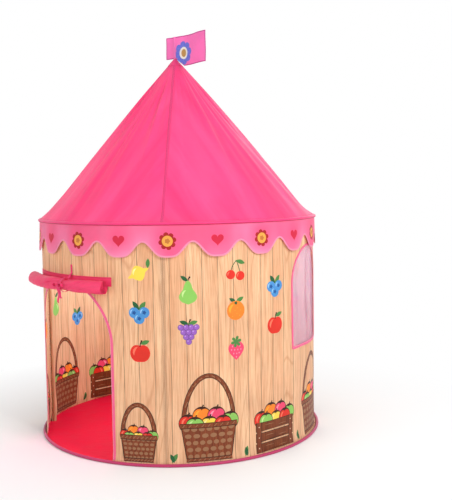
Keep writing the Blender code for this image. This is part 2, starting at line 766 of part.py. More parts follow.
# Roof cloth
def roof():
    """Four gores that sag between the rods and flare at their foot over the eaves hoop."""
    first_height = EAVES_HEIGHT + BINDING_RADIUS + CLOTH
    rise = height_at(PEAK_HOLE, CLOTH_LIFT) - first_height

    def ridge_radius(height):
        flare = EAVES_RING - radius_at(first_height, CLOTH_LIFT)
        left = max(0, 1 - (height - first_height) / FLARE_HEIGHT)
        return radius_at(height, CLOTH_LIFT) + flare * left**FLARE_POWER

    def middle_radius(height):
        share = (height - first_height) / rise
        return EAVES_RING + (PEAK_HOLE - EAVES_RING) * share - GORE_SAG * 4 * share * (1 - share)

    for side, middle in {"front": 0, "right": 90, "back": 180, "left": 270}.items():

        def point(i, j, middle=middle):
            height = first_height + rise * ROOF_ROW_SHARES[j]
            away = 90 * (i / GORE_COLUMNS - 1 / 2)
            blend = math.cos(2 * math.radians(away))
            radius = ridge_radius(height) * (1 - blend) + middle_radius(height) * blend
            most = 45 - math.degrees(GORE_GAP / 2 / radius)
            return around(radius, middle + max(-most, min(most, away)), height)

        made = surface("roof_gore_" + side, GORE_COLUMNS, len(ROOF_ROW_SHARES) - 1, point, "roof_pink")
        solidify(made, CLOTH)
        smooth(made)


def valance():
    """A skirt that hangs from the eaves binding, cut in round lobes."""
    top = EAVES_HEIGHT - BINDING_RADIUS - GAP
    notch, tip = EAVES_HEIGHT - LOBE_NOTCH_DROP, EAVES_HEIGHT - LOBE_TIP_DROP
    columns = LOBES * LOBE_COLUMNS
    work = bmesh.new()
    grid = []
    for i in range(columns):
        turn = 2 * math.pi * i / LOBE_COLUMNS
        cut = ((1 - math.cos(turn)) / 2) ** LOBE_ROUNDING
        low = tip + (notch - tip) * cut
        line = []
        for j in range(VALANCE_ROWS + 1):
            share = 1 - j / VALANCE_ROWS
            radius = EAVES_RING + (VALANCE_FLARE + VALANCE_WAVE * math.cos(turn)) * share
            angle = LOBE_START + 360 * i / columns
            line.append(work.verts.new(around(radius, angle, top - (top - low) * share)))
        grid.append(line)
    for i in range(columns):
        here, there = grid[i], grid[(i + 1) % columns]
        for j in range(VALANCE_ROWS):
            work.faces.new((here[j], there[j], there[j + 1], here[j + 1]))
    made = place("valance", mesh_of("valance", work), "valance_pink")
    solidify(made, CLOTH)
    smooth(made)


clear_scene()
TENT = new_collection("play_tent")
CUTTERS = new_collection("cutters")
bindings_and_hoops()
floor_sheet()
walls()
door_flap()
door_tie()
poles()
hub()
peak_cap()
flag()
roof()
valance()
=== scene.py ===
import math
from functools import partialmethod

import bmesh
import bpy
from mathutils import Matrix, Vector, noise
from mathutils.geometry import delaunay_2d_cdt


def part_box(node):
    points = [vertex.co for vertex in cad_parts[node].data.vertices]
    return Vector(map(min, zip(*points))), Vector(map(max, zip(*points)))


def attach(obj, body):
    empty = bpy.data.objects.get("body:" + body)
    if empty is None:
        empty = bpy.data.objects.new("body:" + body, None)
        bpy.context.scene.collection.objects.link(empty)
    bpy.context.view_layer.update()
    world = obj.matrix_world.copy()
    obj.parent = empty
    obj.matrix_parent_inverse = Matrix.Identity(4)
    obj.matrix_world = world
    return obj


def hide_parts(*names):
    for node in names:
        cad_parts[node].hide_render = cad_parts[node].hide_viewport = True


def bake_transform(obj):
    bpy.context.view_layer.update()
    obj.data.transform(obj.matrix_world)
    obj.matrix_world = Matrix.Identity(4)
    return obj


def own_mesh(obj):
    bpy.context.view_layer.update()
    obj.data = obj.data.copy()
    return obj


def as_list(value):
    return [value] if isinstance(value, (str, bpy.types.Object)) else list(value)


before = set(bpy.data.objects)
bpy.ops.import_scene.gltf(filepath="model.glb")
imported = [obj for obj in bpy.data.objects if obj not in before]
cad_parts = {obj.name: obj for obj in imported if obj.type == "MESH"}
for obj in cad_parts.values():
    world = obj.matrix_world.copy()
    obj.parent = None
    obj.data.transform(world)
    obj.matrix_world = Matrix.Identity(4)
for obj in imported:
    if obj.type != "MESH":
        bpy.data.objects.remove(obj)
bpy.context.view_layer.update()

# Camera: it stands to the right of the door, a little above the eaves
CAMERA_AZIMUTH, CAMERA_DISTANCE, CAMERA_HEIGHT = 51.0, 3.0948, 0.9187
CAMERA_PITCH, CAMERA_YAW, CAMERA_ROLL = 0.0831, 0.0581, -0.0144
CAMERA_FOCAL_PIXELS, PICTURE_HEIGHT_PIXELS = 813.7, 500

# Sizes of the tent in metres, read from the frame where a box gives them; angles are degrees from the door
floor_low, floor_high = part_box("floor_binding")
eaves_low, eaves_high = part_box("eaves_binding")
door_low, door_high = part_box("door_binding")
flap_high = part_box("door_flap_sheet")[1]
BINDING_RADIUS = (floor_high[2] - floor_low[2]) / 2
HEM_RING, EAVES_RING = floor_high[0] - BINDING_RADIUS, eaves_high[0] - BINDING_RADIUS
EAVES_HEIGHT = (eaves_low[2] + eaves_high[2]) / 2
WALL_RADIUS, WALL_FOOT, WALL_INSET, FOOT_FLARE = 0.508, 0.0013, 0.006, 0.03
CLOTH, GAP = 0.0008, 0.0003
TAPE_WIDTH, TAPE_LIFT, TAPE_STEP = 0.010, 0.0011, 0.008
DOOR_HALF_WIDTH, DOOR_TOP = door_high[0] - TAPE_WIDTH, door_high[2] - TAPE_WIDTH
WINDOW_HALF_WIDTH, WINDOW_SILL, WINDOW_TOP = 0.127, 0.347, 0.689
WINDOW_ANGLES = {"right": 115.45, "left": -115.45}
LOBES, LOBE_START, LOBE_ROUNDING = 20, 47, 1.9
LOBE_NOTCH, LOBE_TIP = EAVES_HEIGHT - 0.059, EAVES_HEIGHT - 0.107
VALANCE_TOP = EAVES_HEIGHT - BINDING_RADIUS * 0.6
MOTIF_HEIGHT = 0.735
SEAM_ANGLES = {"front_right": 45, "back_right": 135, "back_left": 225, "front_left": 315}
PANELS = {"front": 0, "right": 90, "back": 180, "left": -90}


def around(radius, angle, height):
    """The point at this radius and height, at an angle in degrees from the door towards +X."""
    turn = math.radians(angle)
    return Vector((radius * math.sin(turn), -radius * math.cos(turn), height))


def arc(angle):
    """The flat width of the wall's cloth from the middle of the door to an angle."""
    return math.radians(angle) * WALL_RADIUS


def aside(angle, reach):
    """The flat place on the wall's cloth at a straight sideways reach from an angle."""
    return arc(angle) + WALL_RADIUS * math.asin(reach / WALL_RADIUS)


def apart(angle, other):
    """How many degrees lie between two directions."""
    return abs((angle - other + 180) % 360 - 180)


def ease(value):
    """Smooth step from 0 to 1."""
    value = min(1, max(0, value))
    return value * value * (3 - 2 * value)


def even(first, last, count):
    """Values at even steps from the first to the last."""
    return [first + (last - first) * k / count for k in range(count + 1)]


def rough(x, y, z=0.0):
    return noise.noise(Vector((x, y, z)))


# Materials
def srgb(*levels):
    """A colour as a picture shows it, in levels up to 255, made linear."""
    shares = [level / 255 for level in levels]
    return (*[s / 12.92 if s <= 0.04045 else ((s + 0.055) / 1.055) ** 2.4 for s in shares], 1)


class Value:
    """What a node gives: arithmetic on it adds the nodes that work it out."""

    def __init__(self, socket):
        self.socket, self.tree = socket, socket.id_data

    def output(self, name):
        """Another output of the same node."""
        return Value(self.socket.node.outputs[name])

    def math(self, operation, *others):
        return add_node(self.tree, "Math", self, *others, operation=operation)

    __add__ = partialmethod(math, "ADD")
    __sub__ = partialmethod(math, "SUBTRACT")
    __mul__ = partialmethod(math, "MULTIPLY")
    __truediv__ = partialmethod(math, "DIVIDE")
    __lt__ = partialmethod(math, "LESS_THAN")
    __abs__ = partialmethod(math, "ABSOLUTE")

    def ramp(self, low, high, first=0.0, second=1.0):
        """It mapped from one range onto another, and held to it."""
        return add_node(self.tree, "MapRange", self, low, high, first, second, clamp=True)

    def mix(self, first, second):
        """The first colour where it is 0, and the second where it is 1."""
        return add_node(self.tree, "Mix", self, first, second, data_type="RGBA")

    def noise(self, scale, detail=2.0, roughness=0.5, distortion=0.0):
        return add_node(self.tree, "TexNoise", self, scale, detail, roughness, None, distortion)

    def grain(self, across, along, *settings):
        """Noise scaled by two factors, so that it runs one way."""
        return add_node(self.tree, "Mapping", self, None, None, (across, along, 1)).noise(1.0, *settings)


def put(node, inputs):
    """Sets a node's inputs or links them to values; None leaves one as it is."""
    for name, value in inputs.items():
        if isinstance(value, Value):
            node.id_data.links.new(value.socket, node.inputs[name])
        elif value is not None:
            node.inputs[name].default_value = value


def add_node(tree, kind, *values, out=None, **settings):
    """A node with its settings made and its inputs, in their order, put: this gives one of its outputs."""
    made = tree.nodes.new("ShaderNode" + kind)
    for key, value in settings.items():
        setattr(made, key, value)
    put(made, dict(zip([k for k, socket in enumerate(made.inputs) if socket.enabled], values)))
    return Value(made.outputs[out] if out else next(socket for socket in made.outputs if socket.enabled))


def shown(tree, output, share, first, second):
    """Shows a blend of two shaders on the surface: all of the second where the share is 1."""
    put(tree.nodes[output], {"Surface": add_node(tree, "MixShader", share, first, second)})


def new_material(name):
    material = bpy.data.materials.new(name)
    material.use_nodes = True
    return material, material.node_tree, material.node_tree.nodes["Principled BSDF"]


THREAD, STITCH, STITCH_HALF_WIDTH, STITCH_SHARE = 0.0007, 0.0036, 0.0006, 0.7
BOARD, BOARD_LINE = 0.0525, 0.0014


def weave(across, along):
    """The height of a plain weave: threads that pass over and under each other."""
    turns = 2 * math.pi / THREAD
    return (across * turns).math("SINE") * (along * turns).math("SINE")


def stitches(across, along, rows):
    """1 on sewn stitches: dashes along rows at these places across the cloth."""
    found = None
    for row in rows:
        near = abs(across - row) < STITCH_HALF_WIDTH
        found = found.math("MAXIMUM", near) if found else near
    return found * ((along / STITCH).math("FRACT") < STITCH_SHARE)


def corner_seams(base, height, across, along):
    """The joint between two wall panels, with a row of stitches on each side of it and painted shade darkening the
    fold along the joint, which is also sunk as a bump.
    """
    away = (across - arc(45)).math("PINGPONG", arc(45))
    fold = away.ramp(0.0, 0.0016, 1.0, 0.0)
    sewn = stitches(away, along, (0.0045,))
    # Painted shade: the cloth turns darker brown in the fold along the joint.
    base = sewn.mix((fold * 0.55).mix(base, srgb(140, 84, 56)), srgb(190, 132, 96))
    return base, height - fold * 0.0006 - sewn * 0.0003


def cloth_look(name, colour, roughness, glow, crumple, rows=(), thread=None, sheen=0.15, seamed=False):
    """Thin woven polyester: its weave, soft creases, uneven dye, stitch rows and the light that comes through.
    The colour is one colour, or a paint that works it out from the place on the flat cloth."""
    material, tree, shader = new_material(name)
    place = add_node(tree, "UVMap", uv_map="cloth")
    across = add_node(tree, "SeparateXYZ", place)
    along = across.output("Y")
    dye = place.noise(14.0, 4.0, 0.6)
    base = colour(place, across, along) if callable(colour) else colour
    tint = add_node(tree, "CombineColor", *[dye.ramp(0.25, 0.75, 0.93, 1.05)] * 3)
    base = add_node(tree, "Mix", 1.0, base, tint, data_type="RGBA", blend_type="MULTIPLY")
    height = place.noise(42.0, 3.0, 0.5, 0.6) * (0.0022 * crumple) + weave(across, along) * 0.000014
    if rows:
        sewn = stitches(along, across, rows)
        base, height = sewn.mix(base, thread), height + sewn * 0.0004
    if seamed:
        base, height = corner_seams(base, height, across, along)
    put(shader, {
        "Base Color": base,
        "Normal": add_node(tree, "Bump", 0.9, 1.0, None, height),
        "Roughness": dye.ramp(0.3, 0.7, roughness - 0.05, roughness + 0.07),
        "Sheen Weight": sheen,
        "Sheen Roughness": 0.4,
        "Specular IOR Level": 0.3,
    })
    if glow:
        through = add_node(tree, "BsdfTranslucent", base)
        shown(tree, "Material Output", glow, Value(shader.outputs[0]), through)
    return material


def net_look(name, colour, seen):
    """Sheer net cloth that lets this share of the view through between its threads."""
    material = cloth_look(name, colour, 0.6, 0.45, 0.1)
    tree = material.node_tree
    cloth = Value(tree.nodes["Material Output"].inputs["Surface"].links[0].from_socket)
    shown(tree, "Material Output", seen, add_node(tree, "BsdfTransparent"), cloth)
    return material


def solid_look(name, colour, roughness, metallic, grain, scale):
    """Moulded plastic, glass fibre or steel with a fine surface of its own."""
    material, tree, shader = new_material(name)
    place = add_node(tree, "TexCoord", out="Object")
    fine, wide = place.noise(scale, 3.0), place.noise(25.0, 3.0)
    worn = tuple(min(1, c * 1.25 + 0.01) for c in colour[:3]) + (1,)
    put(shader, {
        "Base Color": wide.ramp(0.35, 0.75, 0.0, 0.6).mix(colour, worn),
        "Roughness": fine.ramp(0.3, 0.7, roughness - 0.06, roughness + 0.08),
        "Metallic": metallic,
        "Normal": add_node(tree, "Bump", None, 1.0, None, fine * grain),
    })
    return material


def plank_paint(place, across, along):
    """A print of upright boards: a tone of its own for each board, long grain, fine pores and thin dark joints."""
    boards = (across + (place.grain(3.0, 6.0, 1.0) - 0.5) * 0.006) / BOARD
    own = add_node(place.tree, "TexWhiteNoise", boards.math("FLOOR"), noise_dimensions="1D")
    shift = own * 9.0
    lifted = add_node(place.tree, "CombineXYZ", across, along + shift, shift)
    rings = abs((across * 150.0 + lifted.grain(6.0, 1.1, 1.0) * 44.0).math("SINE"))
    base = lifted.grain(16.0, 1.6, 3.0).ramp(0.3, 0.7).mix(srgb(248, 216, 176), srgb(234, 188, 146))
    base = rings.ramp(0.0, 0.30, 0.55, 0.0).mix(base, srgb(205, 148, 106))
    base = lifted.grain(300.0, 7.0, 3.0, 0.6).ramp(0.47, 0.64, 0.0, 0.62).mix(base, srgb(202, 143, 101))
    base = own.ramp(0.0, 1.0, 0.0, 0.24).mix(base, srgb(228, 170, 130))
    joint = (boards.math("PINGPONG", 0.5) * BOARD).ramp(BOARD_LINE * 0.5, BOARD_LINE, 1.0, 0.0)
    return (joint * lifted.grain(5.0, 14.0).ramp(0.3, 0.6, 0.35, 0.85)).mix(base, srgb(112, 72, 46))


def roof_paint(place, across, along):
    """Pink cloth, lighter and darker in long streaks that run down the slope: painted sheen and shade of its folds.
    """
    return place.grain(11.0, 1.3, 3.0, 0.5, 0.4).ramp(0.32, 0.68).mix(srgb(246, 62, 130), srgb(254, 92, 154))


def piping_paint(place, across, along):
    """The eaves' piping, with painted shade: darker along the sewn groove under its outer side."""
    groove = abs(along - BINDING_RADIUS * 2 * math.pi * 0.905)
    # Painted shade in the groove under the piping.
    dark = groove.ramp(BINDING_RADIUS * 0.3, BINDING_RADIUS * 0.65, 1.0, 0.0)
    return dark.mix(srgb(243, 62, 126), srgb(186, 22, 74))


def valance_paint(place, across, along):
    """A pink print that drifts paler downwards and between its motifs, which sit in a deeper glow."""
    beside = (across - arc(LOBE_START)).math("PINGPONG", arc(360 / LOBES) / 2)
    above = along - (MOTIF_HEIGHT + 0.012)
    away = (beside.math("POWER", 2.0) + above.math("POWER", 2.0)).math("SQRT")
    drift = place.noise(5.0, 2.0).ramp(0.35, 0.65, 0.1, 0.9)
    low = along.ramp(EAVES_HEIGHT - 0.02, EAVES_HEIGHT - 0.07).ramp(0.0, 1.0, 0.5, 1.0)
    return (away.ramp(0.016, 0.062) * drift * low).mix(srgb(252, 96, 144), srgb(253, 156, 200))


def petal_paint(place, across, along):
    """Fine speckles of two blues."""
    return place.noise(160.0, 3.0).ramp(0.35, 0.65).mix(srgb(104, 122, 222), srgb(132, 136, 230))


def streaks(first, second):
    """A paint with long streaks of two colours, for printed wicker and slats."""
    return lambda place, across, along: place.grain(150.0, 14.0, 3.0, 0.6).ramp(0.35, 0.65).mix(first, second)


INK = (0.52, 0.3, 0.2)
PRINT_COLOURS = {
    "blue": (84, 158, 216),
    "pale_blue": (166, 212, 240),
    "purple": (164, 108, 200),
    "pale_purple": (208, 172, 230),
    "pink": (240, 82, 122),
    "pale_pink": (252, 168, 190),
    "red": (226, 56, 42),
    "pale_red": (246, 128, 100),
    "orange": (248, 146, 50),
    "amber": (250, 184, 60),
    "yellow": (250, 222, 90),
    "pale_yellow": (254, 240, 170),
    "lime": (152, 208, 104),
    "pale_lime": (206, 234, 160),
    "white": (246, 242, 230),
    "cut": (240, 220, 186),
    "ring": (168, 122, 86),
    "outline": (66, 38, 26),
    "leaf": (86, 146, 76),
    "dark_leaf": (44, 104, 62),
    "dark_purple": (112, 66, 150),
    "dark_blue": (44, 94, 160),
    "heart": (226, 38, 74),
    "rosette": (186, 40, 40),
    "rosette_ring": (250, 186, 84),
    "rosette_middle": (214, 132, 62),
    "edge_pink": (248, 158, 190),
}
bark, boards = streaks(srgb(122, 56, 32), srgb(156, 84, 52)), streaks(srgb(112, 54, 28), srgb(144, 76, 42))
roof_rows, roof_thread, seam_thread = (0.007,), srgb(226, 52, 116), srgb(208, 46, 106)
flap_rows, flap_thread = (flap_high[2] - 0.003,), srgb(196, 34, 80)
LOOKS = {
    "planks": cloth_look("printed_planks", plank_paint, *INK, seamed=True),
    "bark": cloth_look("printed_bark", bark, *INK, seamed=True),
    "boards": cloth_look("printed_boards", boards, *INK),
    "roof": cloth_look("roof_cloth", roof_paint, 0.46, 0.28, 0.35, roof_rows, roof_thread),
    "seam": cloth_look("roof_seam_cloth", srgb(240, 66, 128), 0.48, 0.1, 0.2, (-0.0030, 0.0, 0.0030), seam_thread),
    "eaves": cloth_look("eaves_cloth", piping_paint, 0.45, 0.1, 0.5),
    "hem": cloth_look("hem_cloth", srgb(190, 58, 104), 0.45, 0.1, 0.5),
    "tape": cloth_look("tape_cloth", srgb(238, 98, 142), 0.45, 0.1, 0.3, (-0.0035,), srgb(248, 176, 200)),
    "floor": cloth_look("floor_cloth", srgb(220, 8, 54), 0.6, 0.0, 0.9, sheen=0.0),
    "flap": cloth_look("flap_cloth", srgb(250, 66, 116), 0.42, 0.2, 0.6, flap_rows, flap_thread, sheen=0.05),
    "ribbon": cloth_look("ribbon_cloth", srgb(240, 58, 116), 0.38, 0.15, 0.2),
    "valance": cloth_look("valance_cloth", valance_paint, 0.5, 0.25, 0.3),
    "flag": cloth_look("flag_cloth", srgb(252, 142, 208), 0.45, 0.4, 0.4),
    "flag_edge": cloth_look("flag_edge_cloth", srgb(206, 70, 150), 0.5, 0.2, 0.2),
    "flag_petals": cloth_look("flag_flower_cloth", petal_paint, 0.5, 0.25, 0.2),
    "flag_middle": cloth_look("flag_middle_cloth", srgb(204, 158, 92), 0.5, 0.25, 0.2),
    "voile": net_look("window_voile", srgb(216, 186, 202), 0.5),
    "net": cloth_look("window_net_cloth", srgb(236, 194, 210), 0.5, 0.4, 0.1),
    **{name: cloth_look("printed_" + name, srgb(*levels), *INK) for name, levels in PRINT_COLOURS.items()},
}

# Making pieces
PIECES, AREAS = {}, {}
SHARP_ANGLE = 50


def finished(mesh, looks, slot, *replaced, body="root"):
    """The object of a mesh: its materials, its body, its smooth shading and the solids that it stands for."""
    made = PIECES[mesh.name] = bpy.data.objects.new(mesh.name, mesh)
    bpy.context.scene.collection.objects.link(made)
    for look in looks:
        mesh.materials.append(LOOKS[look])
    mesh.shade_smooth()
    mesh.set_sharp_from_angle(angle=math.radians(SHARP_ANGLE))
    if body:
        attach(made, body)
    if replaced:
        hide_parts(*replaced)
    return made


def mesh_from(name, points, faces, places, indices=None):
    """A mesh whose cloth map holds each corner's place on the flat cloth."""
    mesh = bpy.data.meshes.new(name)
    mesh.from_pydata(points, [], faces)
    if indices:
        mesh.polygons.foreach_set("material_index", indices)
    layer = mesh.uv_layers.new(name="cloth")
    for loop in mesh.loops:
        layer.data[loop.index].uv = places[loop.vertex_index]
    mesh.update()
    return mesh


def two_sided(front):
    """The faces of a thin sheet: its front, its back, whose points follow the front's, and its rim.
    The second list says which front face each face of the rim belongs to."""
    count = 1 + max(max(face) for face in front)
    edges = {pair: number for number, face in enumerate(front) for pair in zip(face, face[1:] + face[:1])}
    rim = [(pair, number) for pair, number in edges.items() if pair[::-1] not in edges]
    back = [[v + count for v in reversed(face)] for face in front]
    return front + back + [[b, a, a + count, b + count] for (a, b), _ in rim], [number for _, number in rim]


def anticlockwise(ring):
    turn = sum(a[0] * b[1] - b[0] * a[1] for a, b in zip(ring, [*ring[1:], ring[0]]))
    return ring if turn > 0 else ring[::-1]


def printed_sheet(name, outline, holes, prints, place, ground, step, slot, *replaced, thickness=CLOTH, body="root"):
    """A thin cloth cut to an outline in flat coordinates, with printed shapes that are part of its own faces.
    A later print covers an earlier one; place(x, z, depth) bends the flat cloth into its shape."""
    points, rings = [], []
    for ring in (outline, *holes, *[shape for shape, _ in prints]):
        rings.append(list(range(len(points), len(points) + len(ring))))
        points.extend(Vector(point) for point in anticlockwise(ring))
    low_x, high_x = min(p[0] for p in outline), max(p[0] for p in outline)
    low_z, high_z = min(p[1] for p in outline), max(p[1] for p in outline)
    columns, rows = math.ceil((high_x - low_x) / step), math.ceil((high_z - low_z) / step)
    for i in range(1, columns):
        for j in range(1, rows):
            across = low_x + (high_x - low_x) * (i + (j % 2) / 2 - 0.25) / columns
            points.append(Vector((across, low_z + (high_z - low_z) * j / rows)))
    flat, _, triangles, _, _, owners = delaunay_2d_cdt(points, [], rings, 1, 1e-6, True)
    looks, front, used, indices, area = [ground], [], {}, [], 0.0
    for triangle, owner in zip(triangles, owners):
        if 0 not in owner or any(0 < k <= len(holes) for k in owner):
            continue
        top = max(owner) - 1 - len(holes)
        look = prints[top][1] if top >= 0 else ground
        if look not in looks:
            looks.append(look)
        a, b, c = [flat[k] for k in triangle]
        area += (b - a).cross(c - a) / 2
        front.append([used.setdefault(k, len(used)) for k in triangle])
        indices.append(looks.index(look))
    faces, rim = two_sided(front)
    flats = [flat[k] for k in used]
    corners = [place(p.x, p.y, depth) for depth in (0.0, thickness) for p in flats]
    mesh = mesh_from(name, corners, faces, flats * 2, indices * 2 + [indices[number] for number in rim])
    AREAS[name] = area
    return finished(mesh, looks, slot, *replaced, body=body)


def sheet_grid(name, grid, back, places):
    """A cloth sheet from two grids of points, its outer and its inner face, joined along their edges."""
    wide = len(grid[0])
    starts = [j * wide + i for j in range(len(grid) - 1) for i in range(wide - 1)]
    faces, _ = two_sided([[v, v + 1, v + wide + 1, v + wide] for v in starts])
    points = [point for row in grid + back for point in row]
    return mesh_from(name, points, faces, [spot for row in places * 2 for spot in row])


def swept(name, rings, places, closed=False, weld=False):
    """A tube through rings of points, with the cloth place of each point: its ends are capped, or joined where
    it is closed, and weld makes one point of those that fall together."""
    width, count = len(rings[0]), len(rings)
    faces = []
    for i in range(count if closed else count - 1):
        here, there = i * width, (i + 1) % count * width
        for k in range(width):
            after = (k + 1) % width
            faces.append([here + k, here + after, there + after, there + k])
    if not closed:
        faces.append(list(range(width))[::-1])
        faces.append([(count - 1) * width + k for k in range(width)])
    points = [point for ring in rings for point in ring]
    mesh = mesh_from(name, points, faces, [place for ring in places for place in ring])
    work = bmesh.new()
    work.from_mesh(mesh)
    if weld:
        bmesh.ops.remove_doubles(work, verts=work.verts, dist=1e-6)
    bmesh.ops.recalc_face_normals(work, faces=work.faces)
    work.to_mesh(mesh)
    work.free()
    return mesh


def directions(line, closed=False):
    """The way along a line at each of its points."""
    points = [Vector(point) for point in line]
    before = (points[-1:] if closed else points[:1]) + points[:-1]
    after = points[1:] + (points[:1] if closed else points[-1:])
    return [(there - here).normalized() for here, there in zip(before, after)]


BAND_SECTION = [(-1, 0.3), (-0.9, 0.0), (0, -0.12), (0.9, 0.0), (1, 0.3)]
BAND_SECTION += [(across, 1 - share) for across, share in reversed(BAND_SECTION)]


def band(name, path, width, outer, inner, place, closed=False):
    """A flat folded tape along a path on the flat cloth, on both faces of it: outer and inner are depths."""
    rings, places, run = [], [], 0.0
    for i, (point, along) in enumerate(zip(path, directions(path, closed))):
        side = Vector((-along.y, along.x)) * width / 2
        if i:
            run += (Vector(point) - Vector(path[i - 1])).length
        spots = [(Vector(point) + side * across, share) for across, share in BAND_SECTION]
        rings.append([place(spot.x, spot.y, outer + (inner - outer) * share) for spot, share in spots])
        places.append([(run, across * width / 2) for across, _ in BAND_SECTION])
    return swept(name, rings, places, closed)


def resampled(path, step, closed=False):
    """A path with points at even steps along it."""
    path = [Vector(point) for point in path]
    if closed:
        path.append(path[0])
    made = []
    for start, end in zip(path, path[1:]):
        count = max(1, round((end - start).length / step))
        made += [start.lerp(end, k / count) for k in range(count)]
    return made if closed else made + [path[-1]]


# Wall
def ripple(angle, height):
    """How far the wall stands out from its drum in soft upright folds; it is still at seams and ends."""
    angle = (angle + 180) % 360 - 180
    seam = min(1, 2.2 * abs(math.sin(math.radians(2 * (angle - 45)))))
    ends = math.sin(math.pi * min(1, max(0, height / EAVES_HEIGHT))) ** 0.6
    door = ease((height - 0.53) / 0.04) * ease((33 - abs(angle)) / 6)
    wide = 0.0042 * rough(angle / 9.0, height / 0.55)
    fine = 0.0011 * rough(angle / 3.2, height / 0.16, 7.0)
    most = 0.0002 + 0.006 * ease((abs(angle) - 26) / 6)
    return min(most, (wide + fine) * seam * ends * (1 - door))


def wall_place(x, height, depth=0.0):
    angle = math.degrees(x / WALL_RADIUS)
    foot = WALL_INSET * max(0, 1 - height / FOOT_FLARE)
    return around(WALL_RADIUS + foot + ripple(angle, height) - depth, angle, height)


def opening(angle, half_width, sill, top):
    """The outline of a round-topped opening on the flat cloth, from its left foot over the top to its right."""
    spring = top - half_width
    sides = [(-half_width, z) for z in even(sill, spring, 20)[:-1]]
    top_arc = [(-half_width * math.cos(t), spring + half_width * math.sin(t)) for t in even(0, math.pi, 36)]
    return [(aside(angle, x), z) for x, z in sides + top_arc + [(-x, z) for x, z in reversed(sides)]]


# Shapes of the print, on the flat cloth. Those of fruit are drawn round nought for a fruit that reaches about 1
FRUIT_COLUMNS, FRUIT_SIZE, FRUIT_LOW, FRUIT_STEP = 20, 0.034, 0.372, 0.130
DOOR_CLEAR, WINDOW_CLEAR = 30, 18
LEAF_TIP = 0.0003 / FRUIT_SIZE
BASKET_FOOT, EDGE_WIDTH = 0.018, 0.0022
SLATS = (0.026, 0.062, 0.098)


def petals(x, z, radius, count, depth=0.36, turn=0.0):
    """A flower's outline with round petals, of ten points each."""
    shape = []
    for k in range(count * 10):
        t = 2 * math.pi * k / (count * 10)
        reach = radius * (1 - depth * (1 - abs(math.cos(count * t / 2)) ** 0.6))
        shape.append((x + reach * math.cos(t + turn), z + reach * math.sin(t + turn)))
    return shape


def oval(x, z, across, up=None, points=20):
    """The outline of an oval, or of a circle where it is given one radius."""
    up = across if up is None else up
    turns = [2 * math.pi * k / points for k in range(points)]
    return [(x + across * math.cos(t), z + up * math.sin(t)) for t in turns]


def stroke(line, widths):
    """A shape along a line with a half width at each of its points, or one for them all."""
    widths = widths if isinstance(widths, list) else [widths] * len(line)
    left, right = [], []
    for point, along, width in zip(line, directions(line), widths):
        side = Vector((-along.y, along.x)) * width
        left.append(tuple(Vector(point) + side))
        right.append(tuple(Vector(point) - side))
    return right + left[::-1]


def placed(shapes, x, z, size=1, main=None, pale=None):
    """Shapes drawn round nought, put in their place at their size and in their colours."""
    own = {"main": main, "pale": pale}
    return [([(x + size * a, z + size * b) for a, b in shape], own.get(look, look)) for shape, look in shapes]


def leaf(x, z, length, turn, look="leaf"):
    shares = even(0, 1, 7)
    line = [(x + length * share * math.cos(turn), z + length * share * math.sin(turn)) for share in shares]
    return [(stroke(line, [max(LEAF_TIP, 0.22 * length * math.sin(math.pi * s) ** 0.8) for s in shares]), look)]


def body(z, length, half, turn, shares):
    """A fruit's outline: half widths, in shares, along a line through its middle."""
    reaches = even(-length / 2, length / 2, len(shares) - 1)
    line = [(reach * math.cos(turn), z + reach * math.sin(turn)) for reach in reaches]
    return [(stroke(line, [half * share for share in shares]), "main")]


def shine(x=0, z=0, size=1):
    """A pale curved light on the upper left of a round fruit."""
    turns = [math.radians(angle) for angle in (112, 132, 155, 178, 200)]
    line = [(x + size * 0.64 * math.cos(t), z + size * 0.64 * math.sin(t)) for t in turns]
    return [(stroke(line, [size * width for width in (0.02, 0.09, 0.12, 0.09, 0.02)]), "pale")]


def stalk(z, tall=0.62):
    return [(stroke([(0, z), (0.05, z + tall * 0.5), (0.2, z + tall)], [0.05, 0.05, 0.09]), "outline")]


def apple():
    outline = []
    for k in range(36):
        t = 2 * math.pi * k / 36
        top = 0.20 * math.exp(-(((t - math.pi / 2) / 0.42) ** 2))
        foot = 0.09 * math.exp(-(((t - 3 * math.pi / 2) / 0.36) ** 2))
        outline.append(((1 - top - foot) * math.cos(t), 0.93 * (1 - top - foot) * math.sin(t)))
    return leaf(0.06, 0.88, 0.95, 0.35) + [(outline, "main")] + stalk(0.62) + shine()


def pear():
    shapes = leaf(0, 1.12, 0.85, 2.5, "dark_leaf") + stalk(1.05, 0.5)
    shapes += body(0.05, 2.3, 0.86, math.pi / 2, (0.01, 0.66, 0.93, 1, 0.95, 0.78, 0.58, 0.46, 0.4, 0.28, 0.01))
    return shapes + shine(0, -0.22, 0.82)


def lemon():
    shapes = leaf(0.92, 0.5, 0.9, 1.5)
    shapes += body(0, 2.3, 0.76, 0.45, (0.01, 0.18, 0.24, 0.64, 0.9, 1, 0.9, 0.64, 0.24, 0.16, 0.01))
    return shapes + shine(size=0.78)


def orange():
    shapes = leaf(0, 0.8, 0.95, 0.5) + leaf(0, 0.8, 0.8, 2.6, "dark_leaf")
    shapes += [(oval(0, 0, 0.94), "main"), (petals(0, 0.72, 0.17, 5), "dark_leaf")]
    for a, b in ((0.15, 0.25), (0.5, 0.0), (0.1, -0.3), (0.4, -0.5), (-0.35, -0.55), (-0.1, 0.0)):
        shapes.append((oval(a, b, 0.045, points=8), "pale"))
    return shapes + shine()


def strawberry():
    shapes = body(0, 2.0, 0.84, math.pi / 2, (0.01, 0.32, 0.57, 0.78, 0.93, 1, 0.97, 0.8, 0.48, 0.01))
    seeds = [(-0.4, 0.35), (0, 0.38), (0.4, 0.35), (-0.5, 0.02), (-0.17, 0), (0.17, 0), (0.5, 0.02)]
    for a, b in seeds + [(-0.27, -0.36), (0.05, -0.38), (0.3, -0.32), (0, -0.7)]:
        shapes.append((oval(a, b, 0.05, 0.09, points=8), "pale"))
    return shapes + stalk(0.8, 0.5) + [(petals(0, 0.78, 0.56, 6, 0.62, 0.26), "leaf")]


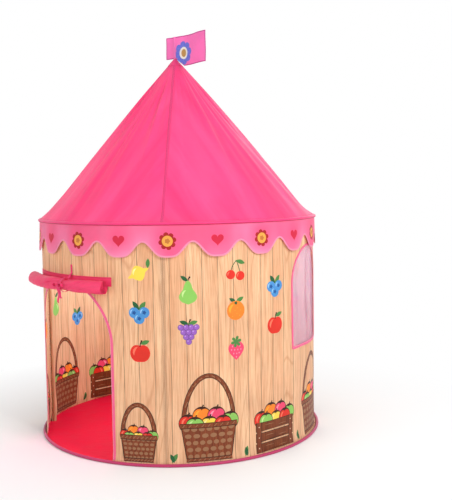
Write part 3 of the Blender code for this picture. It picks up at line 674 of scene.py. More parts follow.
def grapes():
    shapes = stalk(0.7) + leaf(0, 0.85, 0.9, 0.3) + leaf(0, 0.85, 0.9, 2.8, "dark_leaf")
    for row, count in enumerate((4, 3, 2, 1)):
        for k in range(count):
            a, b = (k - (count - 1) / 2) * 0.5, 0.55 - 0.46 * row
            shapes += [(oval(a, b, 0.29, points=14), "dark_purple"), (oval(a, b, 0.25, points=14), "main")]
            shapes.append((oval(a - 0.08, b + 0.08, 0.07, points=8), "pale"))
    return shapes


def berries():
    shapes = leaf(0, 0.3, 1.05, 0.9) + leaf(0, 0.3, 1.05, 2.2, "dark_leaf")
    for a, b in ((-0.5, 0.05), (0.5, 0.08), (0, -0.5)):
        shapes += [(oval(a, b, 0.53), "main"), (petals(a, b, 0.2, 5, 0.5), "dark_blue"), *shine(a, b, 0.55)]
    return shapes


def cherries():
    shapes = []
    for a, b in ((-0.5, -0.35), (0.5, -0.5)):
        shapes.append((stroke([(a, b + 0.3), (a * 0.6, 0.5), (0.1, 1)], 0.04), "dark_leaf"))
        shapes += [(oval(a, b, 0.47, 0.45), "main"), *shine(a, b, 0.47)]
    return shapes + leaf(0.1, 1, 0.95, -0.35)


FRUITS = (
    (apple(), "red", "pale_red"),
    (berries(), "blue", "pale_blue"),
    (lemon(), "yellow", "pale_yellow"),
    (grapes(), "purple", "pale_purple"),
    (pear(), "lime", "pale_lime"),
    (strawberry(), "pink", "pale_pink"),
    (orange(), "orange", "amber"),
    (cherries(), "red", "pale_red"),
)
HEAP = (
    (-0.74, 0.0, "red"), (0.76, 0.0, "lime"), (-0.26, 0.25, "orange"), (0.26, 0.22, "pink"),
    (0.0, -0.1, "yellow"), (-0.5, -0.1, "lime"), (0.5, -0.1, "red"),
)


def heap(z, half):
    """Fruit that shows above the rim of a basket or crate, each piece an apple without its leaf."""
    size, shapes = half * 0.31, []
    for a, b, colour in HEAP:
        spot, pale = (a * half, z + b * half), "amber" if colour == "orange" else "pale_" + colour
        shapes += [(oval(*spot, size * 1.07), "outline"), *placed(apple()[1:], *spot, size, colour, pale)]
    return shapes


def bar(first, last, half, look):
    """A straight bar of a basket or crate, with a dark edge."""
    return [(stroke([first, last], half + EDGE_WIDTH), "outline"), (stroke([first, last], half), look)]


def basket(half):
    """A wicker basket of fruit with an arched handle, in metres."""
    foot, tall = BASKET_FOOT, half * 1.2
    rim = foot + tall
    handle = [(half * 0.9 * math.cos(t), rim + half * 1.75 * math.sin(t)) for t in even(0, math.pi, 24)]
    shapes = [(stroke(handle, 0.0078), "outline"), (stroke(handle, 0.0056), "bark")]
    for (ax, az), (bx, bz) in list(zip(handle, handle[1:]))[2:23:2]:
        shapes.append((stroke([(ax - (bz - az) * 0.18, az + (bx - ax) * 0.18), (bx, bz)], 0.0012), "ring"))
    shapes += heap(rim + half * 0.1, half)
    for grow, look in ((0.0026, "outline"), (0.0, "bark")):
        low, high = half * 0.78 + grow, half * 0.97 + grow
        shapes.append(([(-low, foot - grow), (low, foot - grow), (high, rim), (-high, rim)], look))
    for row in range(5):
        share, count = (row + 0.5) / 5, 7 - row % 2
        wide = half * (0.76 + 0.19 * share)
        for k in range(count):
            spot = (wide * ((2 * k + 1) / count - 1), foot + tall * share)
            shapes.append((oval(*spot, wide / count * 0.8, tall / 5 * 0.33, points=10), "ring"))
    for height, reach, thick in ((rim, half * 1.03, 0.0064), (foot, half * 0.82, 0.0044)):
        shapes += bar((-reach, height), (reach, height), thick, "bark")
        for k in range(9):
            spot, lean = reach * (k - 4) / 4.6, thick * 0.6
            shapes.append((stroke([(spot - 0.004, height - lean), (spot + 0.004, height + lean)], 0.0011), "ring"))
    return shapes


def crate(half):
    """A crate of fruit made of three slats and two uprights, in metres."""
    shapes = heap(SLATS[-1] + half * 0.28, half)
    for height in SLATS:
        shapes += bar((-half, height), (half, height), 0.0132, "boards")
        for a, b in ((-0.55, 0.004), (0.15, -0.005)):
            grain = [(half * (a + c), height + b + d) for c, d in ((0, 0), (0.2, 0.001), (0.42, 0))]
            shapes.append((stroke(grain, [0.0003, 0.001, 0.0003]), "ring"))
    for side in (-0.84 * half, 0.84 * half):
        shapes += bar((side, 0.012), (side, 0.114), 0.0082, "bark")
        shapes += [(oval(side, height, 0.0022, points=8), "cut") for height in SLATS]
    return shapes


def orchard():
    """Every printed shape of the wall, back to front: an even repeat of fruit above baskets and crates."""
    shapes, number = [], 0
    for column in range(FRUIT_COLUMNS):
        angle = 360 * column / FRUIT_COLUMNS
        if apart(angle, 0) < DOOR_CLEAR or min(apart(angle, a) for a in WINDOW_ANGLES.values()) < WINDOW_CLEAR:
            continue
        for row in range(3 - column % 2):
            fruit, main, pale = FRUITS[number % len(FRUITS)]
            height = FRUIT_LOW + FRUIT_STEP * (row + column % 2 / 2)
            shapes += placed(fruit, arc(angle), height, FRUIT_SIZE, main, pale)
            number += 1
    for things, angles in (
        (basket(0.094), (61.0, 119.0, 180.0, 241.0, 299.0)),
        (basket(0.062), (34.6, 325.4)),
        (crate(0.090), (90.0, 151.0, 209.0, 270.0)),
    ):
        for angle in angles:
            shapes += placed(things, arc(angle), 0)
    for k, angle in enumerate((47.5, 75.6, 104.4, 132.0, 165.4, 194.6, 228.0, 255.6, 284.4, 312.5)):
        first = leaf(0, 0, 1, 1.0 + 0.3 * (k % 3))
        second = leaf(0, 0, 0.030 / FRUIT_SIZE, 2.0 - 0.2 * (k % 2), "dark_leaf")
        shapes += placed(first, arc(angle) - 0.004, 0.012, FRUIT_SIZE)
        shapes += placed(second, arc(angle) + 0.004, 0.012, FRUIT_SIZE)
    return shapes


def walls():
    """Four printed panels, with the openings cut out of them."""
    shapes = orchard()
    holes = {side: opening(a, WINDOW_HALF_WIDTH, WINDOW_SILL, WINDOW_TOP) for side, a in WINDOW_ANGLES.items()}
    holes["front"] = opening(0, DOOR_HALF_WIDTH, WALL_FOOT - 0.05, DOOR_TOP)
    for side, middle in PANELS.items():
        columns = even(arc(middle - 45) + GAP / 2, arc(middle + 45) - GAP / 2, 60)
        rows = even(WALL_FOOT, EAVES_HEIGHT, 50)
        left, right = columns[0], columns[-1]
        outline = [(x, rows[0]) for x in columns[:-1]] + [(right, z) for z in rows[:-1]]
        outline += [(x, rows[-1]) for x in columns[:0:-1]] + [(left, z) for z in rows[:0:-1]]
        prints = []
        for shape, look in shapes:
            for shift in (-arc(360), 0, arc(360)):
                near = [(x + shift, z) for x, z in shape]
                if max(near)[0] > left and min(near)[0] < right:
                    prints.append((near, look))
        cuts, names = [holes[side]] if side in holes else [], ("printed_cloth", "wall_" + side)
        printed_sheet("wall_cloth_" + side, outline, cuts, prints, wall_place, "planks", 0.016, *names)


def tapes():
    """The folded tapes sewn round the door and the windows."""
    half = TAPE_WIDTH / 2
    path = resampled(opening(0, DOOR_HALF_WIDTH + half, door_low[2], DOOR_TOP + half), TAPE_STEP)
    mesh = band("door_tape", path, TAPE_WIDTH, -TAPE_LIFT, CLOTH + TAPE_LIFT, wall_place)
    finished(mesh, ["tape"], "trim_cloth", "door_binding")
    for side, angle in WINDOW_ANGLES.items():
        path = opening(angle, WINDOW_HALF_WIDTH + half, WINDOW_SILL - half, WINDOW_TOP + half)
        path = resampled(path, TAPE_STEP, True)
        mesh = band("window_tape_" + side, path, TAPE_WIDTH, -TAPE_LIFT, CLOTH + 0.0004, wall_place, True)
        finished(mesh, ["tape"], "trim_cloth", f"window_{side}_binding")


# Window nets: knotted meshes with a sheer cloth close behind them
NET_MARGIN, NET_PITCH = 0.008, 0.0065
NET_DEPTH, NET_THICKNESS = CLOTH + 0.0012, 0.0005
VOILE_DEPTH, VOILE_THICKNESS = CLOTH + 0.0040, 0.0004
NET_HALF_WIDTH = WINDOW_HALF_WIDTH + NET_MARGIN
NET_SILL, NET_TOP = WINDOW_SILL - NET_MARGIN, WINDOW_TOP + NET_MARGIN


def net_place(x, height, depth=0.0):
    """The wall's own shape with soft upright folds inside a window."""
    angle = math.degrees(x / WALL_RADIUS)
    middle = WINDOW_ANGLES["right" if angle > 0 else "left"]
    away = WALL_RADIUS * math.sin(math.radians(angle - middle)) / WINDOW_HALF_WIDTH
    up = (height - WINDOW_SILL) / (WINDOW_TOP - WINDOW_SILL)
    calm = max(0, 1 - away**4) * math.sin(math.pi * min(1, max(0, up))) ** 0.5
    fold = 0.0035 * math.sin(away * 9 + 1.3 * math.sin(3 * up)) + 0.002 * rough(away * 4, up * 2.5)
    return wall_place(x, height, depth + (fold + 0.002) * calm)


def voile_place(x, height, depth):
    return net_place(x, height, depth + VOILE_DEPTH)


def window_nets():
    for side, angle in WINDOW_ANGLES.items():
        outline = resampled(opening(angle, NET_HALF_WIDTH, NET_SILL, NET_TOP), TAPE_STEP, True)
        name, wall = "window_voile_" + side, "wall_cloth_" + side
        looks = ("voile", 0.006, "window_net")
        voile = printed_sheet(name, outline, [], [], voile_place, *looks, thickness=VOILE_THICKNESS)
        net = window_net(side, angle)


def window_net(side, angle):
    """A net of square meshes. Its threads are walls across the cloth, which have a depth but no width: the rim
    of each mesh has points of its own, in the same places as the knots."""
    spring = WINDOW_TOP - WINDOW_HALF_WIDTH
    xs = even(-NET_HALF_WIDTH, NET_HALF_WIDTH, round(2 * NET_HALF_WIDTH / NET_PITCH))
    zs = even(NET_SILL, NET_TOP, round((NET_TOP - NET_SILL) / NET_PITCH))
    spots, front, knots = [], [], {}
    for i in range(len(xs) - 1):
        for j in range(len(zs) - 1):
            corners = [(i, j), (i + 1, j), (i + 1, j + 1), (i, j + 1)]
            if any(zs[b] > spring and math.hypot(xs[a], zs[b] - spring) > NET_HALF_WIDTH for a, b in corners):
                continue
            for a, b in corners:
                if (a, b) not in knots:
                    knots[a, b] = len(spots)
                    spots.append((aside(angle, xs[a]), zs[b]))
            outer, first = [knots[corner] for corner in corners], len(spots)
            spots += [spots[knot] for knot in outer]
            for k in range(4):
                after = (k + 1) % 4
                front.append([outer[k], outer[after], first + after, first + k])
    faces, _ = two_sided(front)
    points = [net_place(x, z, NET_DEPTH + depth) for depth in (0, NET_THICKNESS) for x, z in spots]
    mesh = mesh_from("window_net_cloth_" + side, points, faces, spots * 2)
    return finished(mesh, ["net"], "window_net", "window_net_" + side)


# Bindings over the hoops, and the floor
def ring_tube(name, look, ring, height, replaced):
    """A cloth tube round a hoop, drawn into small gathers."""
    rings, places = [], []
    turns = [2 * math.pi * n / 14 for n in range(14)]
    for k in range(360):
        gathers = [0.10 * (0.5 + 0.5 * rough(k * 0.9, min(n, 14 - n) * 0.35, ring)) for n in range(14)]
        reaches = [(BINDING_RADIUS * (1 - gather), t) for gather, t in zip(gathers, turns)]
        rings.append([around(ring + r * math.cos(t), k, height + r * math.sin(t)) for r, t in reaches])
        places.append([(math.radians(k) * ring, BINDING_RADIUS * t) for t in turns])
    finished(swept(name, rings, places, closed=True), [look], "trim_cloth", replaced)


def floor():
    """The coated floor cloth, which lies flat but for low soft wrinkles."""
    radius, levels, sides = HEM_RING - BINDING_RADIUS * 0.95, 34, 120
    rings, places = [], []
    for share in even(0, 1, levels):
        calm = 1 - ease((share - 0.9) / 0.1)
        ring = [around(radius * share, 360 * k / sides, 0) for k in range(sides)]
        for spot in ring:
            wrinkle = 0.0022 * max(0, rough(spot.x / 0.13, spot.y / 0.09, 2.0))
            spot.z = 0.0012 + calm * (wrinkle + 0.0007 * abs(rough(spot.x / 0.04, spot.y / 0.05)))
        rings.append(ring)
        places.append([spot.xy for spot in ring])
    under = [[Vector((spot.x, spot.y, GAP)) for spot in ring] for ring in reversed(rings)]
    mesh = swept("floor_cloth_sheet", rings + under, places + places[::-1], weld=True)
    finished(mesh, ["floor"], "floor_cloth", "floor_sheet")


# Roof
POLE_RING, ELBOW_HEIGHT, HUB_REACH, HUB_HEIGHT = 0.499, 0.764, 0.016, 1.352
ROD_BOW, CLOTH_LIFT, PEAK_HOLE, GORE_SAG = 0.010, 0.0086, 0.0085, 0.008
FLARE_HEIGHT, FLARE_POWER = 0.055, 2.2
ROOF_FOOT = EAVES_HEIGHT + BINDING_RADIUS * 0.6
SEAM_SECTION = ((-1, 0.0), (-0.8, 0.0009), (0, 0.0012), (0.8, 0.0009), (1, 0.0), (0.6, -0.0004), (-0.6, -0.0004))


def roof_line(lift):
    """The line that runs this far outside the roof rods, as radii and heights, from the eaves past the hub."""
    foot, top = Vector((POLE_RING, ELBOW_HEIGHT)), Vector((HUB_REACH, HUB_HEIGHT))
    chord = top - foot
    out = Vector((chord.y, -chord.x)).normalized() * ROD_BOW * 4
    line = []
    for share in even(0, 1.06, 160):
        slope = (chord + out * (1 - 2 * share)).normalized()
        line.append(foot + chord * share + out * share * (1 - share) + Vector((slope.y, -slope.x)) * lift)
    return line


def read_line(line, value, known=1):
    """The radius of a line at a height or, where known is 0, its height at a radius."""
    for low, high in zip(line, line[1:]):
        if min(low[known], high[known]) <= value <= max(low[known], high[known]):
            share = (value - low[known]) / (high[known] - low[known])
            return low[1 - known] + (high[1 - known] - low[1 - known]) * share
    return line[0 if value < line[0][known] else -1][1 - known]


RIDGE = roof_line(CLOTH_LIFT)
ROOF_TOP = read_line(RIDGE, PEAK_HOLE, 0)
ROOF_SLANT = math.hypot(EAVES_RING, ROOF_TOP - ROOF_FOOT) / (ROOF_TOP - ROOF_FOOT)


def roof_radii(height):
    """The roof's outer face over a rod and half way between two, and the share of its height."""
    share = (height - ROOF_FOOT) / (ROOF_TOP - ROOF_FOOT)
    near_foot = max(0, 1 - (height - ROOF_FOOT) / FLARE_HEIGHT)
    flare = (EAVES_RING - read_line(RIDGE, ROOF_FOOT)) * near_foot**FLARE_POWER
    middle = EAVES_RING + (PEAK_HOLE - EAVES_RING) * share - GORE_SAG * 4 * share * (1 - share)
    return read_line(RIDGE, height) + flare, middle, share


def gore_place(middle_angle, x, height, depth):
    """Where the cloth of a gore goes: taut over the rods, sagging between them, with soft folds that fan from
    the peak and short pulls at the eaves; x runs from -1 to 1 across it."""
    ridge, middle, share = roof_radii(height)
    blend, angle = math.cos(math.pi / 2 * x), middle_angle + 45 * x
    radius = ridge * (1 - blend) + middle * blend
    calm = math.sin(math.pi * min(1, max(0, share))) ** 0.5 * min(1, 6 * (1 - abs(x)))
    fan = 0.0105 * rough(angle / 7.0, share * 1.5, 3.0) + 0.0050 * rough(angle / 2.6, share * 2.2, 9.0)
    pull = 0.0032 * rough(angle / 1.7, share * 7.0, 5.0) * max(0, 1 - 4 * share) * min(1, share / 0.05)
    radius += (fan * calm + pull * min(1, 3 * (1 - abs(x)))) * min(1, radius / 0.12)
    most = 45 - math.degrees(0.0002 / max(radius, 0.004))
    return around(max(radius - depth * 1.3, 0.004), middle_angle + max(-most, min(most, 45 * x)), height)


def roof():
    """Four cloth gores, sewn along the roof rods."""
    heights = [ROOF_FOOT + (ROOF_TOP - ROOF_FOOT) * share**1.15 for share in even(0, 1, 70)]
    shares = even(-1, 1, 56)
    for side, middle in PANELS.items():
        grid, back = [
            [[gore_place(middle % 360, x, height, depth) for x in shares] for height in heights]
            for depth in (0.0, CLOTH)
        ]
        places = []
        for row, height in zip(grid, heights):
            up = (height - ROOF_FOOT) * ROOF_SLANT
            places.append([(math.radians(45 * x) * math.hypot(p.x, p.y), up) for x, p in zip(shares, row)])
        mesh = sheet_grid("roof_cloth_" + side, grid, back, places)
        finished(mesh, ["roof"], "roof_cloth", "roof_gore_" + side)


def roof_seams():
    """A flat-felled seam up each ridge of the roof."""
    for corner, angle in SEAM_ANGLES.items():
        rings, places = [], []
        for height in even(ROOF_FOOT, ROOF_TOP - 0.004, 90):
            ridge = roof_radii(height)[0]
            half = min(0.0055, ridge * 0.6)
            ring = []
            for across, lift in SEAM_SECTION:
                turn = math.degrees(half / ridge) * across
                ring.append(around(ridge * math.cos(math.radians(turn)) + lift * 1.3, angle + turn, height))
            rings.append(ring)
            places.append([((height - ROOF_FOOT) * ROOF_SLANT, half * across) for across, _ in SEAM_SECTION])
        finished(swept("roof_seam_" + corner, rings, places), ["seam"], "roof_cloth")


def peak():
    """The cloth cap over the seams at the peak, gathered round the mast."""
    low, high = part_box("peak_cap")
    sides, collar, foot = 72, 0.0048, low[2] + 0.0012
    profile = [(high[0] - (high[0] - collar) * s, foot + (high[2] - foot) * s**0.97) for s in even(0, 1, 14)]
    inside = [(radius - 0.0006 if k else radius, height - 0.0011) for k, (radius, height) in enumerate(profile)]
    section = profile + inside[::-1]
    rings, places = [], []
    for i in range(sides):
        gather = 0.0009 * rough(min(i, sides - i) * 0.8, 4.0)
        spots = [(max(r + gather * min(1, (r - 0.0046) / 0.01), 0.0045), z) for r, z in section]
        rings.append([around(radius, 360 * i / sides, height) for radius, height in spots])
        places.append([(math.radians(360 * i / sides) * 0.02, radius) for radius, _ in section])
    finished(swept("peak_cap_cloth", rings, places, closed=True), ["roof"], "trim_cloth", "peak_cap")


# Valance
def valance_place(x, height, depth=0.0):
    angle = math.degrees(x / WALL_RADIUS)
    share = (VALANCE_TOP - height) / (VALANCE_TOP - LOBE_TIP)
    turn = math.radians((angle - LOBE_START) * LOBES)
    wave = 0.003 + 0.0012 * math.cos(turn) + 0.0022 * rough(angle / 7.0, height / 0.2, 1.0) * share
    return around(EAVES_RING + wave * share - depth, angle, height)


def heart(x, z, size):
    shape = []
    for k in range(36):
        t = 2 * math.pi * k / 36
        up = 13 * math.cos(t) - 5 * math.cos(2 * t) - 2 * math.cos(3 * t) - math.cos(4 * t)
        shape.append((x + 16 * math.sin(t) ** 3 / 34 * size, z + (up + 2) / 34 * size))
    return shape[::-1]


def valance():
    """The scalloped skirt under the eaves, with a paler edge, hearts and flower rosettes."""
    first = LOBE_START - 180 / LOBES - 180
    low_edge = []
    for angle in even(first, first + 360, LOBES * 24):
        cut = ((1 - math.cos(math.radians((angle - LOBE_START) * LOBES))) / 2) ** LOBE_ROUNDING
        low_edge.append((arc(angle), LOBE_TIP + (LOBE_NOTCH - LOBE_TIP) * cut))
    for end, gap in ((0, GAP), (-1, -GAP)):
        low_edge[end] = (low_edge[end][0] + gap, low_edge[end][1])
    outline = low_edge + [(x, VALANCE_TOP) for x, _ in reversed(low_edge)]
    raised = [(x - way.y * 0.0055, z + way.x * 0.0055) for (x, z), way in zip(low_edge, directions(low_edge))]
    prints = [(low_edge + raised[::-1], "edge_pink")]
    for k in range(LOBES):
        spot = (arc(first + 360 * (k + 0.5) / LOBES), MOTIF_HEIGHT)
        if k % 2:
            prints.append((heart(*spot, 0.044), "heart"))
        else:
            prints += [(petals(*spot, 0.0285, 8, 0.26, 0.2), "rosette"), (oval(*spot, 0.0175), "rosette_ring")]
            prints.append((petals(*spot, 0.0085, 5, 0.3), "rosette_middle"))
    looks = ("valance", 0.014, "valance_cloth", "valance")
    made = printed_sheet("valance_cloth", outline, [], prints, valance_place, *looks)


# Door flap
ROLL_RADIUS, ROLL_CORE, ROLL_TURNS = 0.0262, 0.0045, 5.6
ROLL_RING, ROLL_HEIGHT, ROLL_HALF_ANGLE = 0.5377, 0.5865, 24.2
FLAP_RADIUS, FLAP_HALF_ANGLE = 0.5104, 25.4
TIE_ANGLE, TIE_TOP, RIBBON_THICKNESS, KNOT_RADIUS = 6, 0.652, 0.0010, 0.0062


def flap_strip():
    """The part of the flap that hangs from its seam, behind the roll."""
    low, high = ROLL_HEIGHT, flap_high[2]
    heights, angles = even(low, high, 24), even(-FLAP_HALF_ANGLE, FLAP_HALF_ANGLE, 60)

    def face(depth):
        return [[around(FLAP_RADIUS - depth + 0.0002 * rough(a / 3, h * 40), a, h) for a in angles] for h in heights]

    places = [[(arc(angle), height) for angle in angles] for height in heights]
    mesh = sheet_grid("flap_cloth_sheet", face(0.0), face(CLOTH), places)
    made = finished(mesh, ["flap"], "flap_cloth", "door_flap_sheet", body=None)
    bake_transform(made)


def roll_crease(turn, away):
    """How deep the roll's surface sinks in the long creases that twist away from its tie."""
    depth = 0.0
    for number, twist, reach, sharp, deep in (
        (3, 0.5, 5.0, 5, 0.0060), (5, -0.32, 2.4, 4, 0.0040), (2, 0.8, 9.0, 9, 0.0040)
    ):
        valley = 1 - abs(math.sin(turn * number / 2 + twist * away + number))
        depth += deep * valley**sharp * math.exp(-abs(away) / reach) * min(1, abs(away) / 0.3)
    return -depth


def flap_roll():
    """The rest of the flap, rolled up: a spiral of cloth, drawn in at its tie, with creases that fan from it."""
    rings, places, steps = [], [], 250
    for angle in even(-ROLL_HALF_ANGLE, ROLL_HALF_ANGLE, 110):
        away = math.radians(angle - TIE_ANGLE) * ROLL_RING / 0.035
        tight = (1 - 0.20 * math.exp(-(away**2))) * (1 - 0.06 * (0.5 + rough(angle / 6.0, 9.0)))
        middle = ROLL_HEIGHT - 0.0012 * abs(math.sin(math.radians(angle * 4)))
        outer, inner, spots = [], [], []
        for share in even(0, 1, steps):
            turn = 2 * math.pi * ROLL_TURNS * share
            crease = roll_crease(turn, away) - 0.0008
            crease += 0.0016 * rough(angle / 5.0, turn * 0.8, 2.0) + 0.0008 * rough(angle / 1.4, turn * 2.2, 6.0)
            reach = (ROLL_CORE + (ROLL_RADIUS - ROLL_CORE) * share**0.9) * tight + crease * share**2
            reach = min(reach, ROLL_RADIUS * 0.995)
            for ring, r in ((outer, reach), (inner, reach - 0.0009)):
                ring.append(around(ROLL_RING - r * math.cos(turn), angle, middle + r * math.sin(turn) * 0.97))
            spots.append((arc(angle), reach * turn))
        rings.append(outer + inner[::-1])
        places.append(spots + spots[::-1])
    made = finished(swept("flap_roll", rings, places), ["flap"], "flap_cloth", "door_roll", body="door_roll")


RIBBON_SECTION = [(-1, 0.4), (-0.85, 1), (0, 1.1), (0.85, 1), (1, 0.4)]
RIBBON_SECTION += [(1, -0.4), (0.85, -1), (0, -0.9), (-0.85, -1), (-1, -0.4)]


def ribbon(name, line, width, way):
    """A flat ribbon along a line of points, with its width as near as it can be to a way."""
    rings = []
    for point, along in zip(line, directions(line)):
        wide = (way - along * way.dot(along)).normalized()
        spread, rise = wide * width / 2, wide.cross(along) * RIBBON_THICKNESS / 2
        rings.append([point + spread * a + rise * b for a, b in RIBBON_SECTION])
    return swept(name, rings, [[(k * 0.004, n * 0.001) for n in range(10)] for k in range(len(rings))])


def tie():
    """The ribbon sewn above the door, round the roll's waist, with its knot, two tails and two bows."""
    side, out, up = around(1, TIE_ANGLE + 90, 0), around(1, TIE_ANGLE, 0), Vector((0, 0, 1))
    centre, loop = around(ROLL_RING, TIE_ANGLE, ROLL_HEIGHT), ROLL_RADIUS * 0.8 + 0.0021
    wall, knot = around(WALL_RADIUS + 0.0012, TIE_ANGLE, 0), centre + out * (loop + 0.004)
    hung = [wall + up * (TIE_TOP - 0.004 * k) for k in range(8)]
    hung += [centre + (out * math.cos(t) + up * math.sin(t)) * loop for t in map(math.radians, even(122, -200, 32))]
    parts = [(hung, 0.009, side)]
    for lean, length in ((-0.20, 0.058), (0.16, 0.043)):
        tail = []
        for share in even(0, 1, 14):
            across = lean * length * share + 0.0022 * math.sin(5 * share + lean * 9)
            ahead = 0.0018 * math.sin(9 * share) - 0.006 * share
            tail.append(knot + side * across - up * length * share + out * ahead)
        parts.append((tail, 0.010, side))
    for way in (-0.011, 0.011):
        bow = []
        for t in even(0, 2 * math.pi, 20):
            across, above, ahead = way * (1 - math.cos(t)), 0.0065 * math.sin(t) + 0.002, 0.003 * math.sin(t / 2)
            bow.append(knot + side * across + up * above + out * ahead)
        parts.append((bow, 0.009, out))
    meshes = [ribbon(f"tie_ribbon_{number}", *part) for number, part in enumerate(parts)]
    work = bmesh.new()
    bmesh.ops.create_icosphere(work, subdivisions=3, radius=KNOT_RADIUS)
    work.verts.index_update()
    faces = [[vertex.index for vertex in face.verts] for face in work.faces]
    for vertex in work.verts:
        spot = vertex.co.normalized()
        vertex.co *= 1 + 0.18 * rough(spot.x * 3, spot.z * 5, spot.y * 3)
        vertex.co.y *= 0.75
    points = [vertex.co.copy() for vertex in work.verts]
    work.free()
    meshes.append(mesh_from("tie_knot", points, faces, [point.xz for point in points]))
    meshes[-1].transform(Matrix.Translation(knot + out * 0.001) @ Matrix.Rotation(math.radians(TIE_ANGLE), 4, "Z"))
    for number, mesh in enumerate(meshes):
        piece = finished(mesh, ["ribbon"], "ribbon", *(["door_tie"] if number == 0 else []))
        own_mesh(piece)


# Open tubes of cloth: the flag's channel and the sleeves of the wall poles
CHANNEL_RADIUS, CHANNEL_BORE, CHANNEL_REACH, FLAG_NOTCH, FLAG_EDGE = 0.0054, 0.0044, 0.0056, 0.045, 0.0035
SLEEVE_RADIUS, SLEEVE_BORE, SLEEVE_TOP = 0.0073, 0.0064, 0.718
SEAM_TAPE_RADIUS, SEAM_TAPE_WIDTH = 0.50685, 0.024


def open_tube(name, middle, angle, sides, heights, bore, flat, start, reach):
    """An open tube round an upright line, with a smooth bore; reach(k, n) gives its outer radius at each point."""
    ways = [around(1, angle + 360 * n / sides, 0) for n in range(sides)]
    rings, bores, places = [], [], []
    for k, height in enumerate(heights):
        spot = middle + Vector((0, 0, height))
        rings.append([spot + way * reach(k, min(n, sides - n)) for n, way in enumerate(ways)])
        bores.append([spot + way * bore for way in ways])
        places.append([(start + flat * 2 * math.pi * n / sides, height) for n in range(sides)])
    return swept(name, rings + bores[::-1], places + places[::-1], closed=True)


def flag():
    """The flag's waving cloth with its hem, a printed flower and the channel that turns on the mast."""
    low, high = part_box("flag")
    left, right, bottom, top = low[0] + 0.0004, high[0] - 0.0004, low[2] + 0.0004, high[2] - 0.0004
    cad = [vertex.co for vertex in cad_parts["flag"].data.vertices]
    step_foot = min(point.z for point in cad if abs(point.x) < 0.006)

    def place(x, z, depth):
        wave = 0.008 * math.sin(2 * math.pi * x / 0.225) * min(abs(x) / 0.045, 1)
        curl = 0.0022 * rough(x * 26, z * 14, 3.0) * min(1, abs(x) / 0.02)
        return Vector((x, wave - 0.0003 + curl + depth, z))

    def lower(x):
        share = min(1, max(0, (x - CHANNEL_REACH) / (FLAG_NOTCH - CHANNEL_REACH)))
        return step_foot - (step_foot - bottom) * share if x > 0 else step_foot + 0.0004

    xs = even(left, right, 44)
    outline = [(x, lower(x)) for x in xs] + [(right, z) for z in even(bottom, top, 20)[1:-1]]
    outline += [(x, top) for x in reversed(xs)] + [(left, z) for z in even(top, lower(left), 20)[1:-1]]
    inner = []
    for x, z in outline:
        inward = FLAG_EDGE if x < left + FLAG_EDGE else -FLAG_EDGE if x > right - FLAG_EDGE else 0
        inner.append((x + inward, z + (FLAG_EDGE if z < top - FLAG_EDGE else -FLAG_EDGE)))
    middle = (left + (right - left) * 0.38, (bottom + top) / 2 - 0.008)
    prints = [(outline, "flag_edge"), (inner, "flag"), (petals(*middle, 0.043, 8, 0.2, 0.1), "flag_petals")]
    prints += [(oval(*middle, 0.0200, 0.0225), "white"), (oval(*middle, 0.0120, 0.0145), "flag_middle")]
    looks = ("flag", 0.008, "flag_cloth", "flag")
    cloth = printed_sheet("flag_sheet", outline, [], prints, place, *looks, thickness=0.0007, body="flag")
    heights, flat, area = even(step_foot + 0.0006, top, 24), (right - left, top - bottom), AREAS["flag_sheet"]
    tube = open_tube(
        "flag_channel", Vector(), 0, 16, heights, CHANNEL_BORE, CHANNEL_RADIUS, 0,
        lambda k, n: CHANNEL_RADIUS + 0.0003 * rough(k * 0.7, n * 0.5),
    )
    tube = finished(tube, ["flag"], "flag_cloth", body="flag")


def seam_tape_place(x, z, depth):
    return around(SEAM_TAPE_RADIUS - depth, math.degrees(x / WALL_RADIUS), z)


def pole_sleeves():
    """The tapes inside the wall's seams, with the sleeves that hold the wall poles."""
    for corner, angle in SEAM_ANGLES.items():
        low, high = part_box("seam_tape_" + corner)
        heights, middle = even(low[2], SLEEVE_TOP, 80), around(POLE_RING, angle, 0)
        sleeve = open_tube(
            "pole_sleeve_" + corner, middle, angle, 20, heights, SLEEVE_BORE, SLEEVE_RADIUS, arc(angle),
            lambda k, n: SLEEVE_RADIUS * (1 - 0.07 * (0.5 + 0.5 * rough(k * 0.35, n * 0.5, angle))),
        )
        finished(sleeve, ["planks"], "trim_cloth")
        path = [(arc(angle), height) for height in even(low[2], high[2], 60)]
        tape = band("seam_tape_cloth_" + corner, path, SEAM_TAPE_WIDTH, 0.0, TAPE_LIFT, seam_tape_place)
        finished(tape, ["planks"], "trim_cloth", "seam_tape_" + corner)


def hard_parts():
    """The finish of the solids that stay: poles, joints, mast and hoops."""
    fibre = solid_look("white_fibre", srgb(226, 226, 222), 0.35, 0.0, 0.00004, 500.0)
    black = solid_look("black_joint", srgb(28, 28, 30), 0.42, 0.0, 0.00006, 1200.0)
    steel = solid_look("spring_steel", srgb(160, 162, 166), 0.3, 1.0, 0.00002, 1500.0)
    starts = {("wall_pole", "roof_rod", "flag_mast"): fibre, ("eaves_elbow", "peak_hub"): black}
    starts["eaves_hoop", "floor_hoop"] = steel
    for name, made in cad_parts.items():
        for start, look in starts.items():
            for slot in made.material_slots if name.startswith(start) else ():
                slot.material = look


# Stage
def linked(name, data):
    made = bpy.data.objects.new(name, data)
    bpy.context.scene.collection.objects.link(made)
    return made


